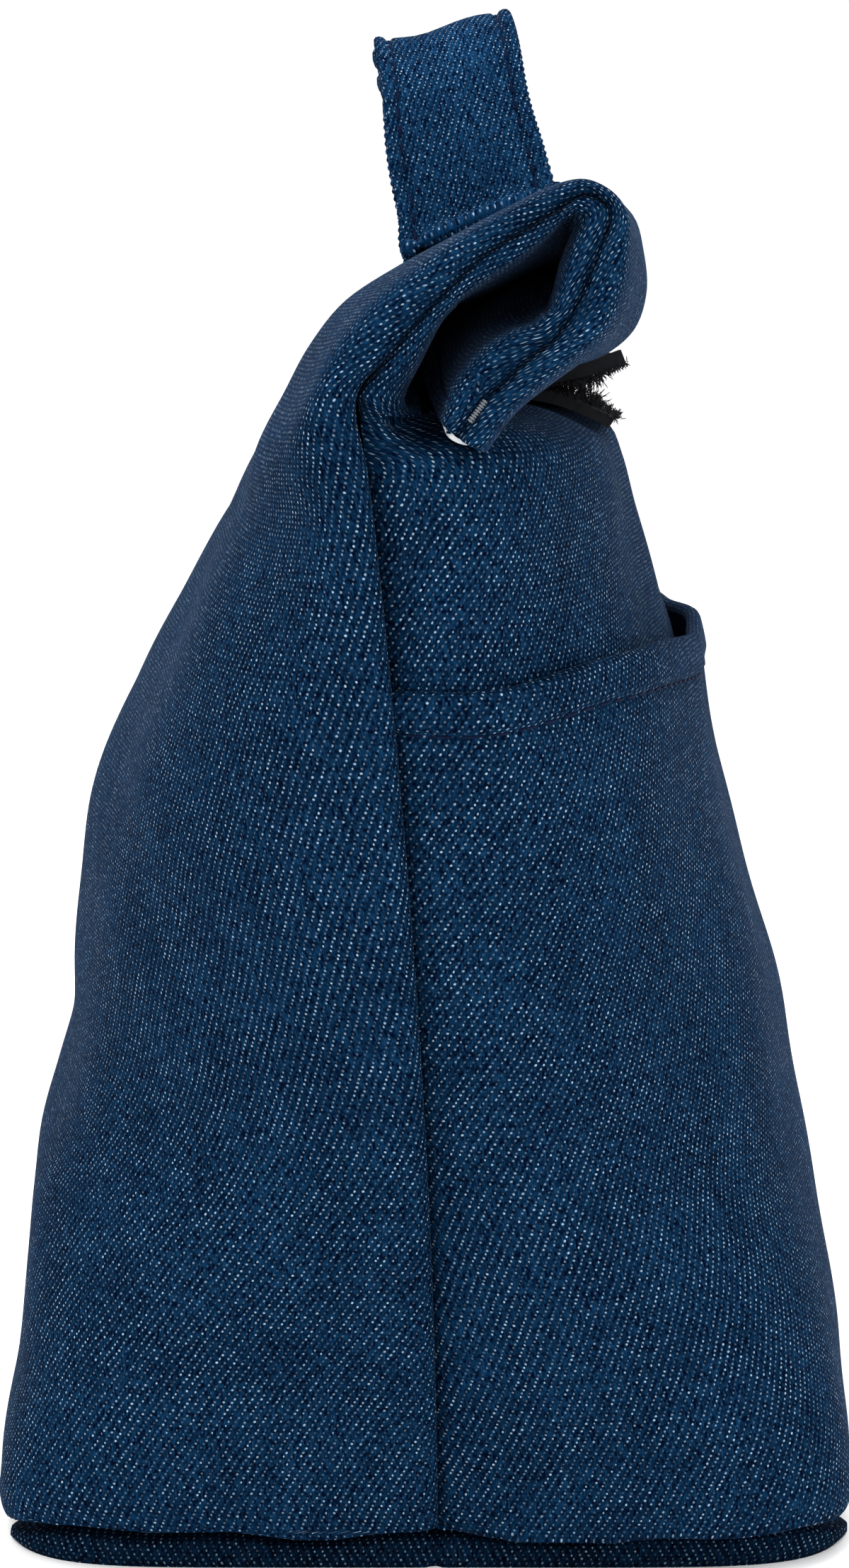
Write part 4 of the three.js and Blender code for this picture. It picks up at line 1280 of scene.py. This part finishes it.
def strap_seams(rings, pull, height):
    """Lines of stitching along the strap's edges, on both faces where it is free of the bag."""
    face = 2 * len(STRAP_ACROSS) - 1
    near = int(np.argmin(np.abs(STRAP_ACROSS - STITCH_CHANNEL)))
    middle = len(STRAP_ACROSS) - 1
    free = height > TAB_LIFT + 1.0
    lines = []
    for sign in (-1, 1):
        top = middle + sign * near
        low = face + 3 + middle - sign * near
        up = rings[:, top] - rings[:, low]
        up /= np.linalg.norm(up, axis=1)[:, None]
        lines.append((rings[:, top] + up * STITCH_LIFT, up, pull))
        lines.append((rings[free, low] - up[free] * STITCH_LIFT, -up[free], pull[free]))
    return lines


# Hook-and-loop tape in millimetres, and the fibres on each of the two
TAPE_HALF = 88.0
TAPE_ROWS = 13
TAPE_COLUMNS = 61
HOOK_WIDTH = 16.0
HOOK_LIFT = 2.3
HOOK_THICKNESS = 1.7
LOOP_THICKNESS = 2.2
FIBRES = 2400
FIBRE_RADIUS = 0.08
FIBRE_SEED = 11
PLACE_SEED = 5
LOOP_LINE = [(-16.5, 193.3), (-22.0, 194.2), (-27.4, 195.4), (-32.2, 197.2)]


def fuzz(name, places, ups, reaches, material):
    """Short fibres that stand and lean on a tape."""
    draw = np.random.default_rng(FIBRE_SEED)
    cut = bmesh.new()
    bead = new_bead()
    for place, up, reach in zip(places, ups, reaches):
        lean = up + draw.normal(0.0, 0.75, 3)
        lean /= np.linalg.norm(lean)
        tall = reach * draw.uniform(0.6, 1.25)
        stitch(cut, bead, place, place + lean * tall, np.roll(lean, 1) + 0.01, FIBRE_RADIUS)
    return beaded(name, cut, bead, material)


class BAG_OT_tapes(bpy.types.Operator):
    """Sew on the hook tape under the roll and the loop tape on the flap"""

    bl_idname = "bag.tapes"
    bl_label = "Hook and Loop Tape"

    def execute(self, context):
        tape = material_of("hook_tape")
        xs = np.linspace(-TAPE_HALF, TAPE_HALF, TAPE_COLUMNS)
        blank = np.zeros((TAPE_ROWS, TAPE_COLUMNS, 2))
        start = length_of(FRONT.stations[: len(FRONT_WALL) + 1]) + 0.6
        far = np.linspace(start, start + HOOK_WIDTH, TAPE_ROWS)
        grid, normal = patch(FRONT, far, xs, HOOK_LIFT)
        grid[..., 2] += 0.18 * np.sin(xs / 6.0)[None]
        hook = sheet("hook_tape", grid, blank, HOOK_THICKNESS, tape, normal)
        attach(hook, "bag")
        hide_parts("hook_strip")
        declare(grid)
        face = through(LOOP_LINE, np.linspace(0.0, length_of(LOOP_LINE), TAPE_ROWS))
        loop_grid = np.empty((TAPE_ROWS, TAPE_COLUMNS, 3))
        loop_grid[..., 0] = xs[None]
        loop_grid[..., 1:] = face[:, None]
        loop_grid[..., 2] += 0.15 * np.sin(xs / 7.0 + 1.0)[None]
        down = facing_down(loop_grid)
        loop = sheet("loop_tape", loop_grid, blank, LOOP_THICKNESS, tape, down)
        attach(loop, "flap")
        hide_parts("loop_strip")
        declare(loop_grid)
        draw = np.random.default_rng(PLACE_SEED)
        middle = TAPE_COLUMNS // 2
        for name, body, points, ups in (
            ("hook_fibres", "bag", grid, normal), ("loop_fibres", "flap", loop_grid, down)):
            rows = draw.integers(0, TAPE_ROWS, FIBRES)
            ends = np.abs(draw.normal(0.0, 9.0, FIBRES)).astype(int) % middle
            columns = np.where(draw.random(FIBRES) < 0.5, ends, TAPE_COLUMNS - 1 - ends)
            spot = points[rows, columns] + draw.normal(0.0, 0.5, (FIBRES, 3)) * np.array([1.6, 0.6, 0.1])
            above = np.interp(spot[:, 1], face[::-1, 0], face[::-1, 1])
            room = above - np.interp(spot[:, 1], grid[:, middle, 1], grid[:, middle, 2])
            reaches = np.clip(0.8 * room, 0.7, 3.6) * (1.0 - 0.7 * smooth(-spot[:, 1], 27.6, 29.2))
            made = fuzz(name, spot, ups[rows, columns], reaches, tape)
            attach(made, body)
        return {"FINISHED"}


class BAG_OT_seams(bpy.types.Operator):
    """Sew the hems of the mouth and the bars at its corners"""

    bl_idname = "bag.seams"
    bl_label = "Hems and Bars"

    def execute(self, context):
        thread, tack = material_of("seam_thread"), material_of("tack_thread")
        for panel, side in SIDES:
            far = np.array([panel.length - 6.0, panel.length - MOUTH_STITCH_LINE, panel.length - 4.0])
            data = dressed(panel, far)
            up = data["normal"][1]
            line = (data["grid"][1] + up * 0.1, up, None)
            rows = thread_row(f"mouth_{side}_thread", [line], MOUTH_STITCH, thread)
            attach(rows, "flap")
        above, mouth = (np.array(row[1]) for row in ROLL[-2:])
        low, high = above * 0.35 + mouth * 0.65, above * 0.9 + mouth * 0.1
        across = np.array([0.0, high[1] - low[1], low[0] - high[0]])
        across /= np.linalg.norm(across)
        for name, side in (("mouth_tack_left", -1.0), ("mouth_tack_right", 1.0)):
            cut = bmesh.new()
            bead = new_bead()
            up = np.array([side, 0.0, 0.0])
            for share in np.linspace(0.0, 1.0, TACK_STITCHES):
                middle = np.array([side * TACK_X, *(low + (high - low) * share)])
                stitch(cut, bead, middle - across * 0.5, middle + across * 0.5, up, TACK_RADIUS)
            piece = beaded(name, cut, bead, tack)
            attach(piece, "flap")
            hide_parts(name.replace("mouth_tack", "mouth_bar_tack"))
        return {"FINISHED"}


class BAG_OT_stage(bpy.types.Operator):
    """Set the floor, the light and the camera"""

    bl_idname = "bag.stage"
    bl_label = "Stage"

    def execute(self, context):
        stage = context.scene.bag_stage
        floor_mesh = bpy.data.meshes.new("floor")
        cut = bmesh.new()
        bmesh.ops.create_grid(cut, x_segments=2, y_segments=2, size=6.0)
        cut.to_mesh(floor_mesh)
        cut.free()
        new_material("backdrop_paper", {"Base Color": (*stage.floor, 1.0), "Roughness": 0.9})
        floor = new_object("floor", floor_mesh, material_of("backdrop_paper"))
        world = bpy.data.worlds.new("studio")
        context.scene.world = world
        world.use_nodes = True
        sky = world.node_tree.nodes["Background"]
        set_inputs(sky, {"Color": (1.0, 1.0, 1.0, 1.0), "Strength": 1.03})
        for name, place, size, power in (
            ("key", (-0.9, 0.55, 1.3), 0.9, 16.0),
            ("fill", (-1.0, -0.9, 0.8), 1.1, 9.0),
            ("top", (0.1, 0.0, 1.5), 1.2, 12.0),
        ):
            light = bpy.data.lights.new(name, "AREA")
            light.shape = "DISK"
            light.size = size
            light.energy = power
            lamp = bpy.data.objects.new(name, light)
            lamp.location = place
            aim = Vector((0.0, 0.0, 0.11)) - Vector(place)
            lamp.rotation_euler = aim.to_track_quat("-Z", "Y").to_euler()
            context.scene.collection.objects.link(lamp)
        lens = bpy.data.cameras.new("camera")
        lens.sensor_width = 36.0
        lens.lens = stage.focal
        lens.clip_start = 0.01
        camera = bpy.data.objects.new("camera", lens)
        camera.location = (-stage.distance, 0.0, stage.height)
        look = Vector((math.cos(stage.pitch), 0.0, -math.sin(stage.pitch)))
        camera.rotation_euler = look.to_track_quat("-Z", "Y").to_euler()
        context.scene.collection.objects.link(camera)
        context.scene.camera = camera
        context.scene.view_settings.view_transform = "Standard"
        return {"FINISHED"}


class VIEW3D_PT_cooler_bag(bpy.types.Panel):
    """Lists the steps that make the bag"""

    bl_label = "Cooler Bag"
    bl_space_type = "VIEW_3D"
    bl_region_type = "UI"
    bl_category = "Cooler Bag"

    def draw(self, context):
        for group in (context.scene.bag_cloth, context.scene.bag_shape, context.scene.bag_stage):
            for name in group.__annotations__:
                self.layout.prop(group, name)
        for step in STEPS:
            self.layout.operator(step.bl_idname)


STEPS = (BAG_OT_denim, BAG_OT_lining, BAG_OT_pocket, BAG_OT_strap, BAG_OT_tapes, BAG_OT_seams, BAG_OT_stage)
CLASSES = (BagCloth, BagShape, BagStage, *STEPS, VIEW3D_PT_cooler_bag)


def register():
    for made in CLASSES:
        bpy.utils.register_class(made)
    bpy.types.Scene.bag_cloth = bpy.props.PointerProperty(type=BagCloth)
    bpy.types.Scene.bag_shape = bpy.props.PointerProperty(type=BagShape)
    bpy.types.Scene.bag_stage = bpy.props.PointerProperty(type=BagStage)


def unregister():
    del bpy.types.Scene.bag_stage
    del bpy.types.Scene.bag_shape
    del bpy.types.Scene.bag_cloth
    for made in reversed(CLASSES):
        bpy.utils.unregister_class(made)


def make_materials(cloth):
    """Materials that the operators share."""
    weave = twill_group()
    denim_material("indigo_twill", weave, cloth, cloth.end_pitch, cloth.pick_pitch, 1.0)
    # Base strip's denim at half brightness: painted shade of the lip's shadow over it
    denim_material("shaded_base_twill", weave, cloth, cloth.end_pitch, cloth.pick_pitch, 0.5)
    denim_material("strap_twill", weave, cloth, STRAP_END_PITCH, STRAP_PICK_PITCH, 1.55)
    # Lining grey as painted shade of the white lining inside the mouth
    plain_cloth("shaded_coated_lining", tuple(cloth.lining), 0.5, 900.0, 0.1)
    plain_cloth("hook_tape", tuple(cloth.tape), 0.9, 2500.0, 0.02)
    plain_cloth("seam_thread", tuple(cloth.thread), 0.7, 3000.0, 0.0)
    plain_cloth("tack_thread", tuple(cloth.tack), 0.5, 3000.0, 0.0)


def main():
    register()
    make_materials(bpy.context.scene.bag_cloth)
    bpy.ops.bag.denim()
    bpy.ops.bag.lining()
    bpy.ops.bag.pocket()
    bpy.ops.bag.strap()
    bpy.ops.bag.tapes()
    bpy.ops.bag.seams()
    bpy.ops.bag.stage()


if __name__ == "__main__":
    main()
